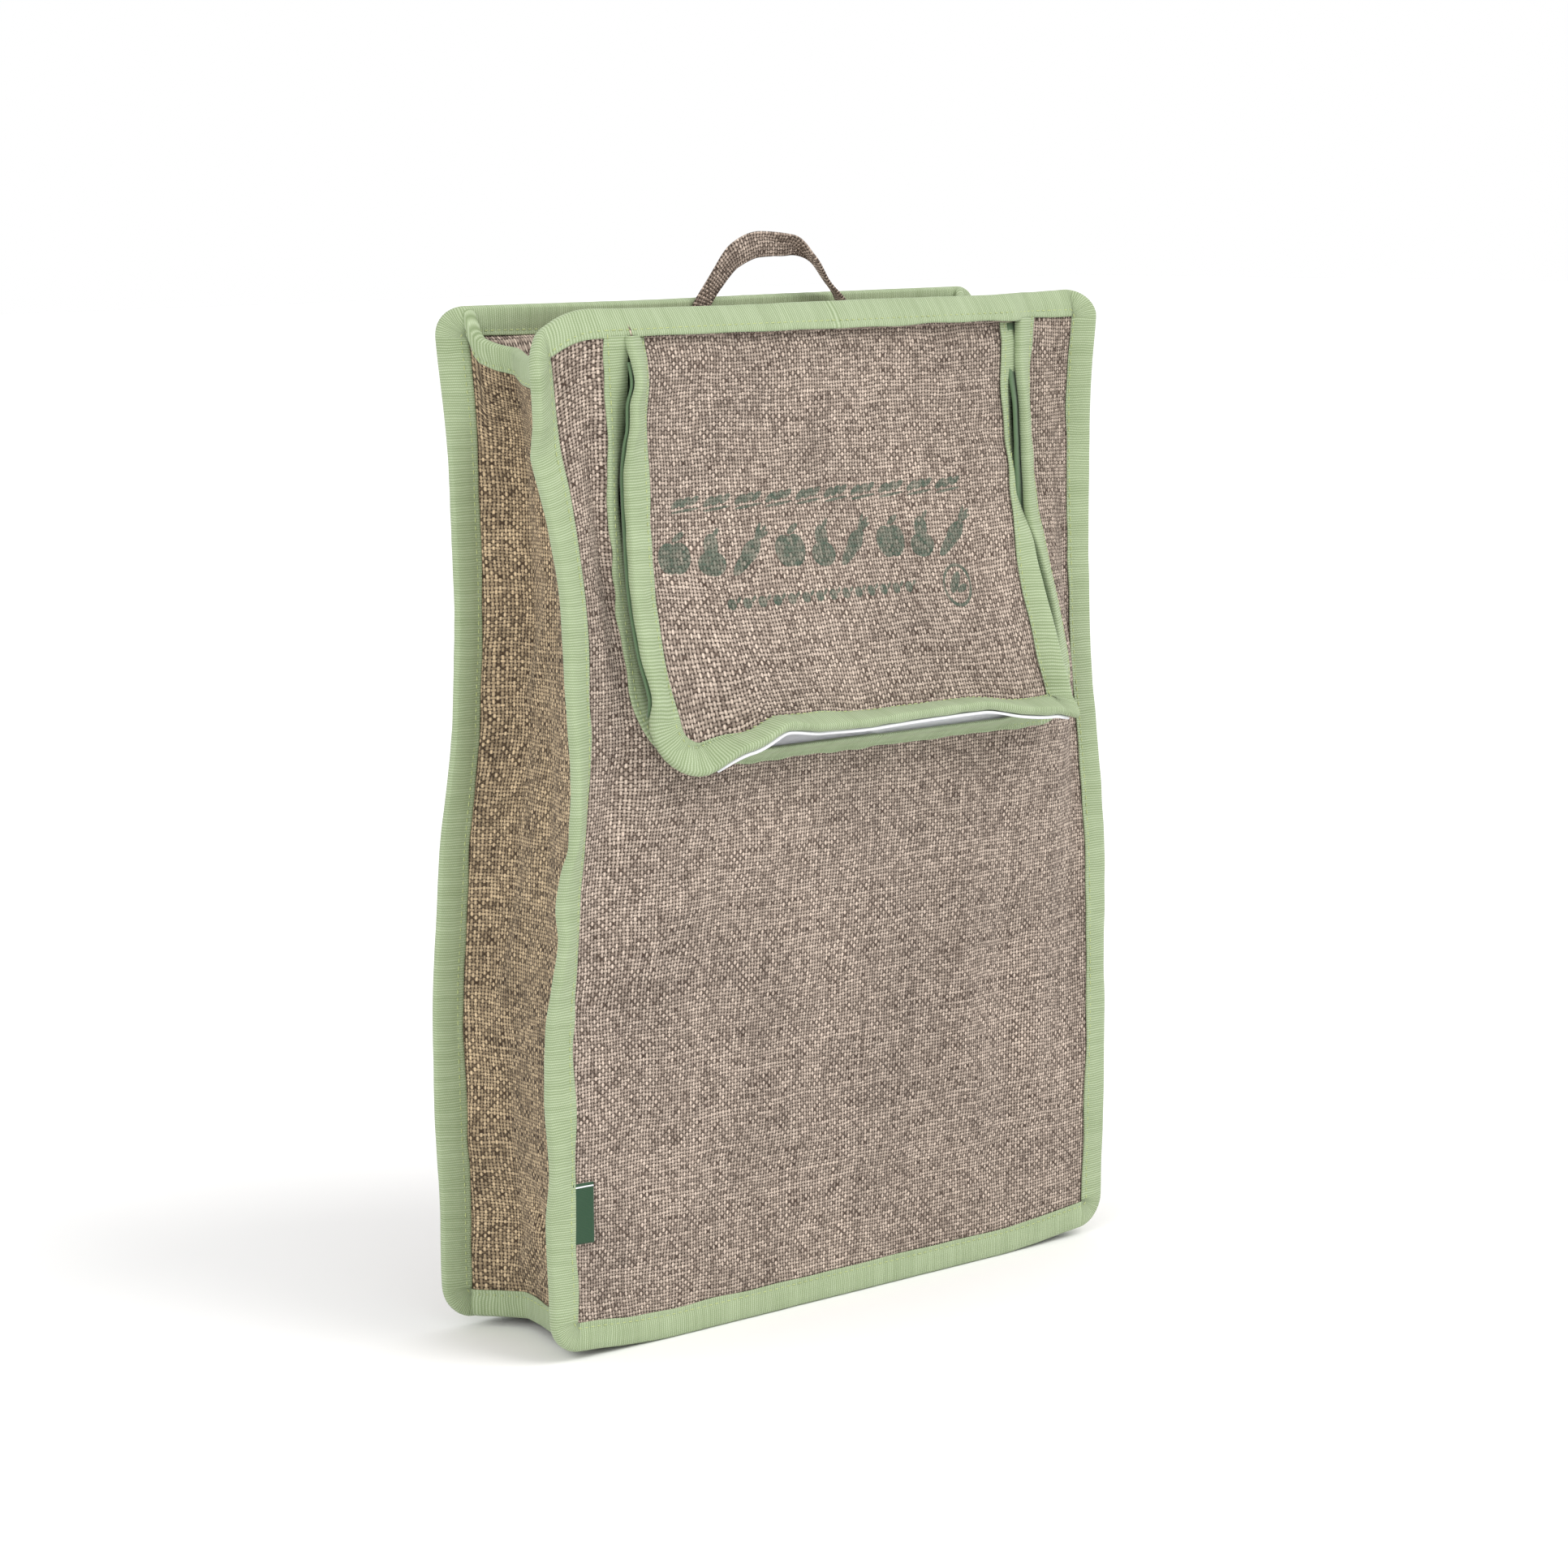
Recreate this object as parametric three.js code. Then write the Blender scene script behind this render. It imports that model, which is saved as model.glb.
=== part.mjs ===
// Produce storage bag: a free-standing cloth box whose seams are turned outward and bound in tape.
// Millimetres, +Z up, +X to the bag's right as seen from the front, front face towards -Y.
// The origin is on the floor, under the middle of the bag.
import * as THREE from 'three';

// Overall size, over the tape
const BAG_WIDTH = 304;
const BAG_DEPTH = 76;
const BAG_HEIGHT = 415;

// Cloth and tape
const CLOTH = 1.0;
const TAPE = 1.0;
const TAPE_WIDTH = 12;
const RIM_RADIUS = 12.5;
const SEAM_CLEAR = 0.5;

// Opening in the front panel, and the flap that fills it
const OPENING_WIDTH = 213;
const OPENING_OFFSET = -2;
const OPENING_LENGTH = 170;
const OPENING_RADIUS_LEFT = 20;
const OPENING_RADIUS_RIGHT = 10;
const FLAP_SLOT = 0.8;
const FLAP_TAPE_WIDTH = 9;
const STEP_LENGTH = 8;

// Closure strips
const STRIP = 1.0;
const STRIP_REACH = 13;
const STRIP_GAP = 0.45;

// Hanging loop
const LOOP_SPAN = 77;
const LOOP_OFFSET = 28;
const LOOP_RISE = 33;
const LOOP_STRAP = 11;
const LOOP_THICKNESS = 1.6;

// Side label
const LABEL_WIDTH = 8;
const LABEL_HEIGHT = 26;
const LABEL_THICKNESS = 0.6;
const LABEL_UP = 46;

// Clearances
const GAP = 0.3;
const EDGE_GAP = 0.5;
const FOLD_ROOM = 2.0;
const SEAM_GAP = 0.5;
const TAB_INSET = 0.8;

// How far the cloth departs from a plain box
const WAIST_PINCH = 10.5;
const BELLY = 17;
const BACK_BELLY = 5;
const GUSSET_FOLD = 13;
const BACK_LEAN = 9;
const CORNER_DROOP = 14;
const CORNER_SET_BACK = 9;
const SEAM_SAG = 8;
const CORNER_LIFT = 4.5;
const FLAP_LIFT = 14;
const FLAP_SHIFT = 7;
const FLAP_GAPE = 4.5;
const MOUTH_SPREAD = 8;
const MOUTH_PUSH = 9;
const MOUTH_LIP = 7;
const MOUTH_DROP = 3.5;

// Longest step between two sections of the cloth, and the parts of a round corner
const STEP = 21;
const CORNER_PARTS = 4;

// Side rims drawn in towards the waist. up: share of the height. pinch: share of WAIST_PINCH.
const WAIST = [
  { up: 0.0, pinch: 0.0 },
  { up: 0.3, pinch: -0.1 },
  { up: 0.47, pinch: 0.35 },
  { up: 0.54, pinch: 0.68 },
  { up: 0.61, pinch: 0.95 },
  { up: 0.68, pinch: 1.0 },
  { up: 0.76, pinch: 0.95 },
  { up: 0.87, pinch: 0.76 },
  { up: 1.0, pinch: 0.28 },
];

// Front pushed out under the flap. out: share of BELLY, up the height and across the half width.
const BELLY_UP = [
  { up: 0.0, out: 0.0 },
  { up: 0.05, out: 0.02 },
  { up: 0.15, out: 0.18 },
  { up: 0.27, out: 0.42 },
  { up: 0.4, out: 0.74 },
  { up: 0.5, out: 0.97 },
  { up: 0.57, out: 1.0 },
  { up: 0.65, out: 0.75 },
  { up: 0.75, out: 0.32 },
  { up: 0.86, out: 0.04 },
  { up: 0.95, out: 0.0 },
  { up: 1.0, out: 0.0 },
];
const BELLY_ACROSS = [
  { across: 0.0, out: 1.0 },
  { across: 0.5, out: 0.95 },
  { across: 0.7, out: 0.82 },
  { across: 0.8, out: 0.68 },
  { across: 0.9, out: 0.44 },
  { across: 0.97, out: 0.3 },
  { across: 1.1, out: 0.3 },
];

// Sides of the opening pulled apart and its right corner pushed forward. up: share of the height.
// left and right: outward, shares of MOUTH_SPREAD. push: share of MOUTH_PUSH.
const MOUTH_UP = [
  { up: 0.33, left: 0.0, right: 0.0, push: 0.0 },
  { up: 0.5, left: 0.0, right: 0.3, push: 0.35 },
  { up: 0.562, left: -0.1, right: 0.6, push: 0.75 },
  { up: 0.592, left: -0.15, right: 0.9, push: 0.95 },
  { up: 0.622, left: -0.05, right: 1.0, push: 1.0 },
  { up: 0.66, left: 0.05, right: 1.0, push: 0.85 },
  { up: 0.72, left: 0.24, right: 0.85, push: 0.5 },
  { up: 0.79, left: 0.3, right: 0.55, push: 0.15 },
  { up: 0.87, left: 0.15, right: 0.3, push: 0.0 },
  { up: 0.94, left: 0.05, right: 0.1, push: 0.0 },
  { up: 1.0, left: 0.0, right: 0.0, push: 0.0 },
];
// How far across the bag these reach, and the lip of the opening's lower edge. across: share of the
// half width.
const MOUTH_ACROSS = [
  { across: -0.9, spread: 0.0, push: 0.0, lip: 0.0 },
  { across: -0.78, spread: -1.0, push: 0.0, lip: 0.0 },
  { across: -0.58, spread: -0.9, push: 0.0, lip: 0.0 },
  { across: -0.25, spread: -0.35, push: 0.0, lip: 0.9 },
  { across: 0.0, spread: 0.0, push: 0.0, lip: 1.0 },
  { across: 0.25, spread: 0.4, push: 0.1, lip: 0.9 },
  { across: 0.42, spread: 0.7, push: 0.35, lip: 0.55 },
  { across: 0.62, spread: 1.0, push: 0.9, lip: 0.0 },
  { across: 0.78, spread: 1.0, push: 0.9, lip: 0.0 },
  { across: 0.9, spread: 0.0, push: 0.0, lip: 0.0 },
];

// Inward fold of the side gussets. deep: share of GUSSET_FOLD, up the height.
const FOLD_UP = [
  { up: 0.0, deep: 1.0 },
  { up: 0.06, deep: 0.95 },
  { up: 0.2, deep: 0.62 },
  { up: 0.45, deep: 0.7 },
  { up: 0.7, deep: 0.95 },
  { up: 1.0, deep: 0.9 },
];
const FOLD_AT = 0.71;

// Back rim leaning forward at the top of the left side. lean: share of BACK_LEAN.
const LEAN_UP = [
  { up: 0.0, lean: 0.1 },
  { up: 0.33, lean: 0.1 },
  { up: 0.6, lean: 0.35 },
  { up: 0.8, lean: 0.8 },
  { up: 1.0, lean: 1.0 },
];

// Lower corners lifted off the floor. across: share of the half width. lift: share of CORNER_LIFT.
const LIFT_ACROSS = [
  { across: 0.0, lift: 0.0 },
  { across: 0.6, lift: 0.0 },
  { across: 0.72, lift: 0.2 },
  { across: 0.86, lift: 0.62 },
  { across: 1.0, lift: 1.0 },
];

// Free edge of the flap, left to right. lift: forward, share of FLAP_LIFT. shift: to the right, and
// rise: upward, shares of FLAP_SHIFT.
const FLAP_EDGE = [
  { across: 0.0, lift: 0.4, shift: 0.0, rise: -1.5 },
  { across: 0.1, lift: 0.4, shift: 0.0, rise: -1.1 },
  { across: 0.2, lift: 0.35, shift: 0.0, rise: -0.3 },
  { across: 0.34, lift: 0.3, shift: 0.0, rise: 0.4 },
  { across: 0.58, lift: 0.25, shift: 0.0, rise: 0.1 },
  { across: 0.82, lift: 0.35, shift: 0.0, rise: -0.2 },
  { across: 1.0, lift: 0.5, shift: 0.0, rise: -0.6 },
];

// Sides of the flap drawn in, which opens a slot beside them. Shares of FLAP_GAPE up the flap.
const FLAP_SIDES = [
  { up: 0.0, left: 0.0, right: 0.0 },
  { up: 0.1, left: 0.1, right: 0.1 },
  { up: 0.4, left: 0.0, right: 0.3 },
  { up: 0.62, left: 0.0, right: 0.4 },
  { up: 0.82, left: 0.2, right: 0.4 },
  { up: 1.0, left: 0.0, right: 0.0 },
];

// Where each fold or dent begins and where it is full. Shares of the height, of the half width, of
// the half depth between the seams, or of the flap's own height or width.
const FRONT_HALF = { from: 1 / 3, to: -1 };
const BACK_HALF = { from: -1 / 3, to: 1 };
const FOLD_ACROSS = { from: 0.6, to: 0.9 };
const LEAN_ACROSS = { from: 0.3, to: -1 };
const DROOP_UP = { from: 0.7, to: 0.97 };
const DROOP_ACROSS = { from: -0.76, to: -1 };
const DROOP_DEEP = { from: 1, to: -1 };
const SAG_UP = { from: 0.84, to: 1 };
const SAG_ACROSS = { from: 0.5, to: 0.9 };
const LIFT_UP = { from: 0.17, to: 0.04 };
const BACK_BELLY_ACROSS = { from: 1, to: 0.9 };
const FLAP_LOOSE_UP = { from: 0.62, to: 0 };
const FLAP_RISE_UP = { from: 0.4, to: 0 };
const FLAP_LEFT_HALF = { from: 0.5, to: 0 };
const FLAP_RIGHT_HALF = { from: 0.5, to: 1 };

// Hanging loop, foot to foot. along: share of LOOP_SPAN. up: share of LOOP_RISE. forward: share of
// LOOP_STRAP. twist in degrees.
const LOOP_LINE = [
  { along: 0.0, up: 0.0, forward: 0.0, twist: 0 },
  { along: 0.025, up: 0.36, forward: 0.0, twist: 0 },
  { along: 0.08, up: 0.64, forward: 0.1, twist: 4 },
  { along: 0.17, up: 0.86, forward: 0.2, twist: 10 },
  { along: 0.3, up: 0.97, forward: 0.3, twist: 16 },
  { along: 0.44, up: 0.98, forward: 0.4, twist: 20 },
  { along: 0.57, up: 0.9, forward: 0.45, twist: 24 },
  { along: 0.69, up: 0.72, forward: 0.45, twist: 28 },
  { along: 0.82, up: 0.52, forward: 0.36, twist: 22 },
  { along: 0.93, up: 0.32, forward: 0.12, twist: 6 },
  { along: 1.0, up: 0.0, forward: 0.0, twist: 0 },
];

// Sizes that follow from those above
const RIM_SLOT = 2 * CLOTH + 3 * GAP;
const RIM_THICKNESS = RIM_SLOT + 2 * TAPE;
const EDGE_SLOT = CLOTH + 2 * EDGE_GAP;
const EDGE_THICKNESS = EDGE_SLOT + 2 * TAPE;
const HALF_WIDTH = BAG_WIDTH / 2;
const RIM_Y = (BAG_DEPTH - RIM_THICKNESS) / 2;
const LAYER = (CLOTH + GAP) / 2;
const EDGE_ROOM = TAPE + FOLD_ROOM;
const SEAM_IN = TAPE_WIDTH + GAP + CLOTH / 2;
const SIDE_X = HALF_WIDTH - SEAM_IN;
const TAB_X = SIDE_X - CLOTH - GAP;
const BASE_Z = SEAM_IN;
const TOP_Z = BAG_HEIGHT - SEAM_IN;
const SEAM_Y = RIM_Y - RIM_THICKNESS / 2 - SEAM_GAP;
const TAB_Y = SEAM_Y - TAB_INSET;
const FLANGE_Y = RIM_Y - LAYER;
const PANEL_Y = RIM_Y + LAYER;
const OPENING_LEFT = OPENING_OFFSET - OPENING_WIDTH / 2;
const OPENING_RIGHT = OPENING_OFFSET + OPENING_WIDTH / 2;
const OPENING_BOTTOM = BAG_HEIGHT - OPENING_LENGTH;
const STRIP_BACK = EDGE_THICKNESS / 2 + STRIP_GAP + STRIP / 2;
const FLAP_PROUD = STRIP + GAP;
const FLAP_Y = PANEL_Y + FLAP_PROUD;
const HANG_TOP = TOP_Z - CLOTH / 2 - GAP;
const CORNER_X = HALF_WIDTH - RIM_RADIUS;
const SET_BACK_ACROSS = { from: OPENING_LEFT - EDGE_ROOM / 2, to: -CORNER_X };
const LIP_UP = { from: OPENING_BOTTOM - TAPE_WIDTH, to: OPENING_BOTTOM };
const LIP_FADES = { from: OPENING_BOTTOM + STRIP_REACH, to: OPENING_BOTTOM + OPENING_LENGTH / 2 };

const rect = (left, right, bottom, top) => ({ left, right, bottom, top });
const OPENING_BOX = rect(OPENING_LEFT, OPENING_RIGHT, OPENING_BOTTOM, BAG_HEIGHT);
const FLAP_BOX = grown(OPENING_BOX, -FLAP_SLOT);

// Rectangle grown by a distance on every side but its top.
function grown(box, by) {
  return rect(box.left - by, box.right + by, box.bottom - by, box.top);
}

// Even climb from 0 where a range begins to 1 where it is full, and the same with soft ends.
function climb(range, value) {
  return Math.min(1, Math.max(0, (value - range.from) / (range.to - range.from)));
}
function ramp(range, value) {
  const t = climb(range, value);
  return t * t * (3 - 2 * t);
}

// Value of a table's column where its key column has the given value, on a smooth curve that never
// overshoots a row.
function lookUp(table, key, column, at) {
  const last = table.length - 1;
  if (at <= table[0][key]) return table[0][column];
  if (at >= table[last][key]) return table[last][column];
  let row = 0;
  while (table[row + 1][key] < at) row += 1;
  const slope = (from) =>
    (table[from + 1][column] - table[from][column]) / (table[from + 1][key] - table[from][key]);
  const slopeAt = (k) => {
    if (k === 0 || k === last) return slope(Math.min(k, last - 1));
    const [before, after] = [slope(k - 1), slope(k)];
    return before * after > 0 ? (2 * before * after) / (before + after) : 0;
  };
  const span = table[row + 1][key] - table[row][key];
  const t = (at - table[row][key]) / span;
  const start = slopeAt(row) * span;
  const end = slopeAt(row + 1) * span;
  const rise = table[row + 1][column] - table[row][column];
  return (
    table[row][column] +
    t * start +
    t * t * (3 * rise - 2 * start - end) +
    t * t * t * (start + end - 2 * rise)
  );
}

// Marks in order, with even steps no longer than about STEP between them.
function stations(marks) {
  const sorted = [...marks].sort((a, b) => a - b);
  const places = [sorted[0]];
  for (let i = 1; i < sorted.length; i += 1) {
    const span = sorted[i] - sorted[i - 1];
    const parts = Math.max(1, Math.round(span / STEP));
    for (let k = 1; k <= parts; k += 1) places.push(sorted[i - 1] + (span * k) / parts);
  }
  return places;
}

// Part of a list of stations between two values, both included.
function between(places, low, high) {
  const inside = places.filter((value) => value > low + GAP && value < high - GAP);
  return [low, ...inside, high];
}

// Tent that rises from 0 at both edges of the gusset to 1 along its fold, by share of the depth.
function tent(y) {
  const share = (y + SEAM_Y) / (2 * SEAM_Y);
  if (share <= 0 || share >= 1) return 0;
  return share < FOLD_AT ? share / FOLD_AT : (1 - share) / (1 - FOLD_AT);
}

// Where the cloth really lies: every point of the plain box moved by the bag's folds and dents.
function drape(p) {
  const up = p.z / BAG_HEIGHT;
  const sideways = p.x / HALF_WIDTH;
  const across = Math.abs(sideways);
  const side = Math.sign(p.x);
  const deep = p.y / SEAM_Y;
  const frontward = ramp(FRONT_HALF, deep);
  const backward = ramp(BACK_HALF, deep);
  const moved = p.clone();

  moved.x -= side * across * WAIST_PINCH * lookUp(WAIST, 'up', 'pinch', up);

  const bulge = lookUp(BELLY_UP, 'up', 'out', up);
  const spread = lookUp(BELLY_ACROSS, 'across', 'out', Math.abs(p.x) / SIDE_X);
  moved.y -= BELLY * bulge * spread * frontward;

  const apart = lookUp(MOUTH_UP, 'up', p.x < 0 ? 'left' : 'right', up);
  const push = lookUp(MOUTH_UP, 'up', 'push', up) * lookUp(MOUTH_ACROSS, 'across', 'push', sideways);
  moved.x += MOUTH_SPREAD * apart * lookUp(MOUTH_ACROSS, 'across', 'spread', sideways) * frontward;
  moved.y -= MOUTH_PUSH * push * frontward;
  const lipUp = climb(LIP_UP, p.z) * (1 - ramp(LIP_FADES, p.z));
  const lip = lipUp * lookUp(MOUTH_ACROSS, 'across', 'lip', sideways) * frontward;
  moved.y -= MOUTH_LIP * lip;
  moved.z -= MOUTH_DROP * lip;

  const hollow = Math.sin(Math.PI * up) * (1 - across * across) * ramp(BACK_BELLY_ACROSS, across);
  moved.y += BACK_BELLY * hollow * backward;

  const fold = lookUp(FOLD_UP, 'up', 'deep', up) * tent(p.y);
  moved.x -= side * GUSSET_FOLD * fold * ramp(FOLD_ACROSS, across);

  const lean = lookUp(LEAN_UP, 'up', 'lean', up);
  moved.y -= BACK_LEAN * lean * backward * ramp(LEAN_ACROSS, sideways);

  const corner = ramp(DROOP_UP, up) * ramp(DROOP_DEEP, deep);
  moved.z -= CORNER_DROOP * corner * ramp(DROOP_ACROSS, sideways) ** 2;
  moved.y += CORNER_SET_BACK * corner * climb(SET_BACK_ACROSS, p.x);

  if (Math.abs(deep) < 1) {
    const sag = Math.sin((Math.PI * (deep + 1)) / 2);
    moved.z -= SEAM_SAG * sag * ramp(SAG_UP, up) * ramp(SAG_ACROSS, across);
  }

  moved.z += CORNER_LIFT * lookUp(LIFT_ACROSS, 'across', 'lift', across) * ramp(LIFT_UP, up);
  return moved;
}

// The flap hangs loose of the bag: its free edge is lifted and waves, and its sides draw in.
function drapeFlap(p) {
  const moved = drape(p);
  const across = (p.x - FLAP_BOX.left) / (FLAP_BOX.right - FLAP_BOX.left);
  const up = (p.z - FLAP_BOX.bottom) / (HANG_TOP - FLAP_BOX.bottom);
  const loose = ramp(FLAP_LOOSE_UP, up);
  const free = loose ** 2;
  const rise = lookUp(FLAP_EDGE, 'across', 'rise', across) * ramp(FLAP_RISE_UP, up);
  moved.y -= FLAP_LIFT * lookUp(FLAP_EDGE, 'across', 'lift', across) * loose;
  moved.x += FLAP_SHIFT * lookUp(FLAP_EDGE, 'across', 'shift', across) * free;
  moved.z += FLAP_SHIFT * rise * free;
  const left = lookUp(FLAP_SIDES, 'up', 'left', up) * ramp(FLAP_LEFT_HALF, across);
  const right = lookUp(FLAP_SIDES, 'up', 'right', up) * ramp(FLAP_RIGHT_HALF, across);
  moved.x += FLAP_GAPE * (left - right);
  return moved;
}

// Closed mesh from points and triangles, turned to face out.
function closedGeometry(points, faces) {
  let volume = 0;
  for (const [a, b, c] of faces) {
    volume += points[a].dot(points[b].clone().cross(points[c]));
  }
  const order = volume < 0 ? faces.map(([a, b, c]) => [a, c, b]) : faces;
  const geometry = new THREE.BufferGeometry();
  geometry.setAttribute(
    'position',
    new THREE.Float32BufferAttribute(points.flatMap((p) => [p.x, p.y, p.z]), 3)
  );
  geometry.setIndex(order.flat());
  geometry.computeVertexNormals();
  return geometry;
}

// Sheet of even thickness on a grid. node(i, j) gives a place on its middle and the direction in
// which its outer skin lies, keep(i, j) says whether the cell from (i, j) to (i + 1, j + 1) is cloth.
function sheetGeometry({ columns, rows, node, keep = () => true, thickness, move = drape }) {
  const points = [];
  const faces = [];
  const known = new Map();
  const isCloth = (i, j) =>
    i >= 0 && j >= 0 && i < columns - 1 && j < rows - 1 && keep(i, j);
  const vertex = (i, j, skin) => {
    const key = `${i},${j},${skin}`;
    if (!known.has(key)) {
      const { place, outward } = node(i, j);
      known.set(key, points.length);
      points.push(move(place.clone().addScaledVector(outward, (skin * thickness) / 2)));
    }
    return known.get(key);
  };
  const quad = (a, b, c, d) => faces.push([a, b, c], [a, c, d]);
  for (let i = 0; i < columns - 1; i += 1) {
    for (let j = 0; j < rows - 1; j += 1) {
      if (!isCloth(i, j)) continue;
      const corners = [[i, j], [i + 1, j], [i + 1, j + 1], [i, j + 1]];
      const beyond = [[i, j - 1], [i + 1, j], [i, j + 1], [i - 1, j]];
      const outer = corners.map(([a, b]) => vertex(a, b, 1));
      const inner = corners.map(([a, b]) => vertex(a, b, -1));
      quad(outer[0], outer[1], outer[2], outer[3]);
      faces.push([inner[2], inner[1], inner[0]], [inner[3], inner[2], inner[0]]);
      for (let k = 0; k < 4; k += 1) {
        const next = (k + 1) % 4;
        if (!isCloth(...beyond[k])) quad(outer[next], outer[k], inner[k], inner[next]);
      }
    }
  }
  return closedGeometry(points, faces);
}

// Flat sheet at one depth, over lists of x and z, with optional rounding and cut-out.
function flatSheet({ xs, zs, depthAt, front = -1, round = (x, z) => [x, z], keep, thickness, move }) {
  return sheetGeometry({
    columns: xs.length,
    rows: zs.length,
    node: (i, j) => {
      const [x, z] = round(xs[i], zs[j]);
      return {
        place: new THREE.Vector3(x, depthAt(z), z),
        outward: new THREE.Vector3(0, front, 0),
      };
    },
    keep: keep && ((i, j) => keep((xs[i] + xs[i + 1]) / 2, (zs[j] + zs[j + 1]) / 2)),
    thickness,
    move,
  });
}

// Pulls a point of a box's corner square onto the round corner. Other points stay.
function roundCorner(x, z, box, radii) {
  const inside =
    x > box.left - GAP && x < box.right + GAP && z > box.bottom - GAP && z < box.top + GAP;
  if (!inside) return [x, z];
  for (const { h, v, radius } of radii) {
    const cx = h < 0 ? box.left + radius : box.right - radius;
    const cz = v < 0 ? box.bottom + radius : box.top - radius;
    const dx = (x - cx) * h;
    const dz = (z - cz) * v;
    const away = Math.hypot(dx, dz);
    if (dx > 0 && dz > 0 && away > radius) {
      return [cx + ((x - cx) * radius) / away, cz + ((z - cz) * radius) / away];
    }
  }
  return [x, z];
}

// Points round a quarter turn of a tape's fold line, the two ends left out.
function cornerPoints(cx, cz, radius, h, v, startsAcross, inward) {
  const points = [];
  for (let k = 1; k < CORNER_PARTS; k += 1) {
    const turn = ((Math.PI / 2) * k) / CORNER_PARTS;
    const along = startsAcross ? Math.cos(turn) : Math.sin(turn);
    const upward = startsAcross ? Math.sin(turn) : Math.cos(turn);
    points.push({
      x: cx + h * along * radius,
      z: cz + v * upward * radius,
      inX: -inward * h * along,
      inZ: -inward * v * upward,
    });
  }
  return points;
}

// Fold line of the tape along the left, lower and right edges of a box. inward is 1 where the cloth
// that the tape holds lies inside the box, -1 where it lies outside.
function hangingPath(box, radiusLeft, radiusRight, xs, zs, inward) {
  const runX = between(xs, box.left + radiusLeft, box.right - radiusRight);
  const runLeft = between(zs, box.bottom + radiusLeft, HANG_TOP).reverse();
  const runRight = between(zs, box.bottom + radiusRight, HANG_TOP);
  const bottom = box.bottom;
  return [
    ...runLeft.map((z) => ({ x: box.left, z, inX: inward, inZ: 0 })),
    ...cornerPoints(box.left + radiusLeft, bottom + radiusLeft, radiusLeft, -1, -1, true, inward),
    ...runX.map((x) => ({ x, z: bottom, inX: 0, inZ: inward })),
    ...cornerPoints(box.right - radiusRight, bottom + radiusRight, radiusRight, 1, -1, false, inward),
    ...runRight.map((z) => ({ x: box.right, z, inX: -inward, inZ: 0 })),
  ];
}

// Fold line of the tape all round a panel, as one loop.
function rimPath(xs, zs) {
  const radius = RIM_RADIUS;
  const runX = between(xs, -HALF_WIDTH + radius, HALF_WIDTH - radius);
  const runZ = between(zs, radius, BAG_HEIGHT - radius);
  const [left, right] = [-HALF_WIDTH + radius, HALF_WIDTH - radius];
  const [low, high] = [radius, BAG_HEIGHT - radius];
  return [
    ...runX.map((x) => ({ x, z: 0, inX: 0, inZ: 1 })),
    ...cornerPoints(right, low, radius, 1, -1, false, 1),
    ...runZ.map((z) => ({ x: HALF_WIDTH, z, inX: -1, inZ: 0 })),
    ...cornerPoints(right, high, radius, 1, 1, true, 1),
    ...[...runX].reverse().map((x) => ({ x, z: BAG_HEIGHT, inX: 0, inZ: -1 })),
    ...cornerPoints(left, high, radius, -1, 1, false, 1),
    ...[...runZ].reverse().map((z) => ({ x: -HALF_WIDTH, z, inX: 1, inZ: 0 })),
    ...cornerPoints(left, low, radius, -1, -1, true, 1),
  ];
}

// Folded tape along a path: its section is a U whose fold runs along the path and whose two legs
// reach over the cloth. place(point, reach, side) gives a place by reach from the fold and by side
// of the cloth. Its quads are cut like those of the cloth that it holds.
function tapeGeometry({
  path,
  width,
  slot,
  place,
  closed = false,
  cutFromFold = false,
  move = drape,
}) {
  const half = slot / 2 + TAPE;
  const inner = slot / 2;
  const section = [
    [width, half],
    [0, half],
    [0, -half],
    [width, -half],
    [width, -inner],
    [TAPE, -inner],
    [TAPE, inner],
    [width, inner],
  ];
  const points = path.flatMap((point) =>
    section.map(([reach, side]) => move(place(point, reach, side)))
  );
  const faces = [];
  const count = section.length;
  const rings = closed ? path.length : path.length - 1;
  for (let r = 0; r < rings; r += 1) {
    const here = r * count;
    const there = ((r + 1) % path.length) * count;
    for (let k = 0; k < count; k += 1) {
      const next = (k + 1) % count;
      const towardsFold = section[k][0] > section[next][0];
      if (towardsFold !== cutFromFold) {
        faces.push([here + k, here + next, there + next], [here + k, there + next, there + k]);
      } else {
        faces.push([here + k, here + next, there + k], [here + next, there + next, there + k]);
      }
    }
  }
  if (!closed) {
    const outline = section.map(([reach, side]) => new THREE.Vector2(reach, side));
    const last = (path.length - 1) * count;
    for (const [a, b, c] of THREE.ShapeUtils.triangulateShape(outline, [])) {
      faces.push([c, b, a], [last + a, last + b, last + c]);
    }
  }
  return closedGeometry(points, faces);
}

// Place of a tape that lies in a plane of constant depth.
const uprightTape = (depthAt) => (point, reach, side) =>
  new THREE.Vector3(
    point.x + point.inX * reach,
    depthAt(point.z) + side,
    point.z + point.inZ * reach
  );

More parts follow.
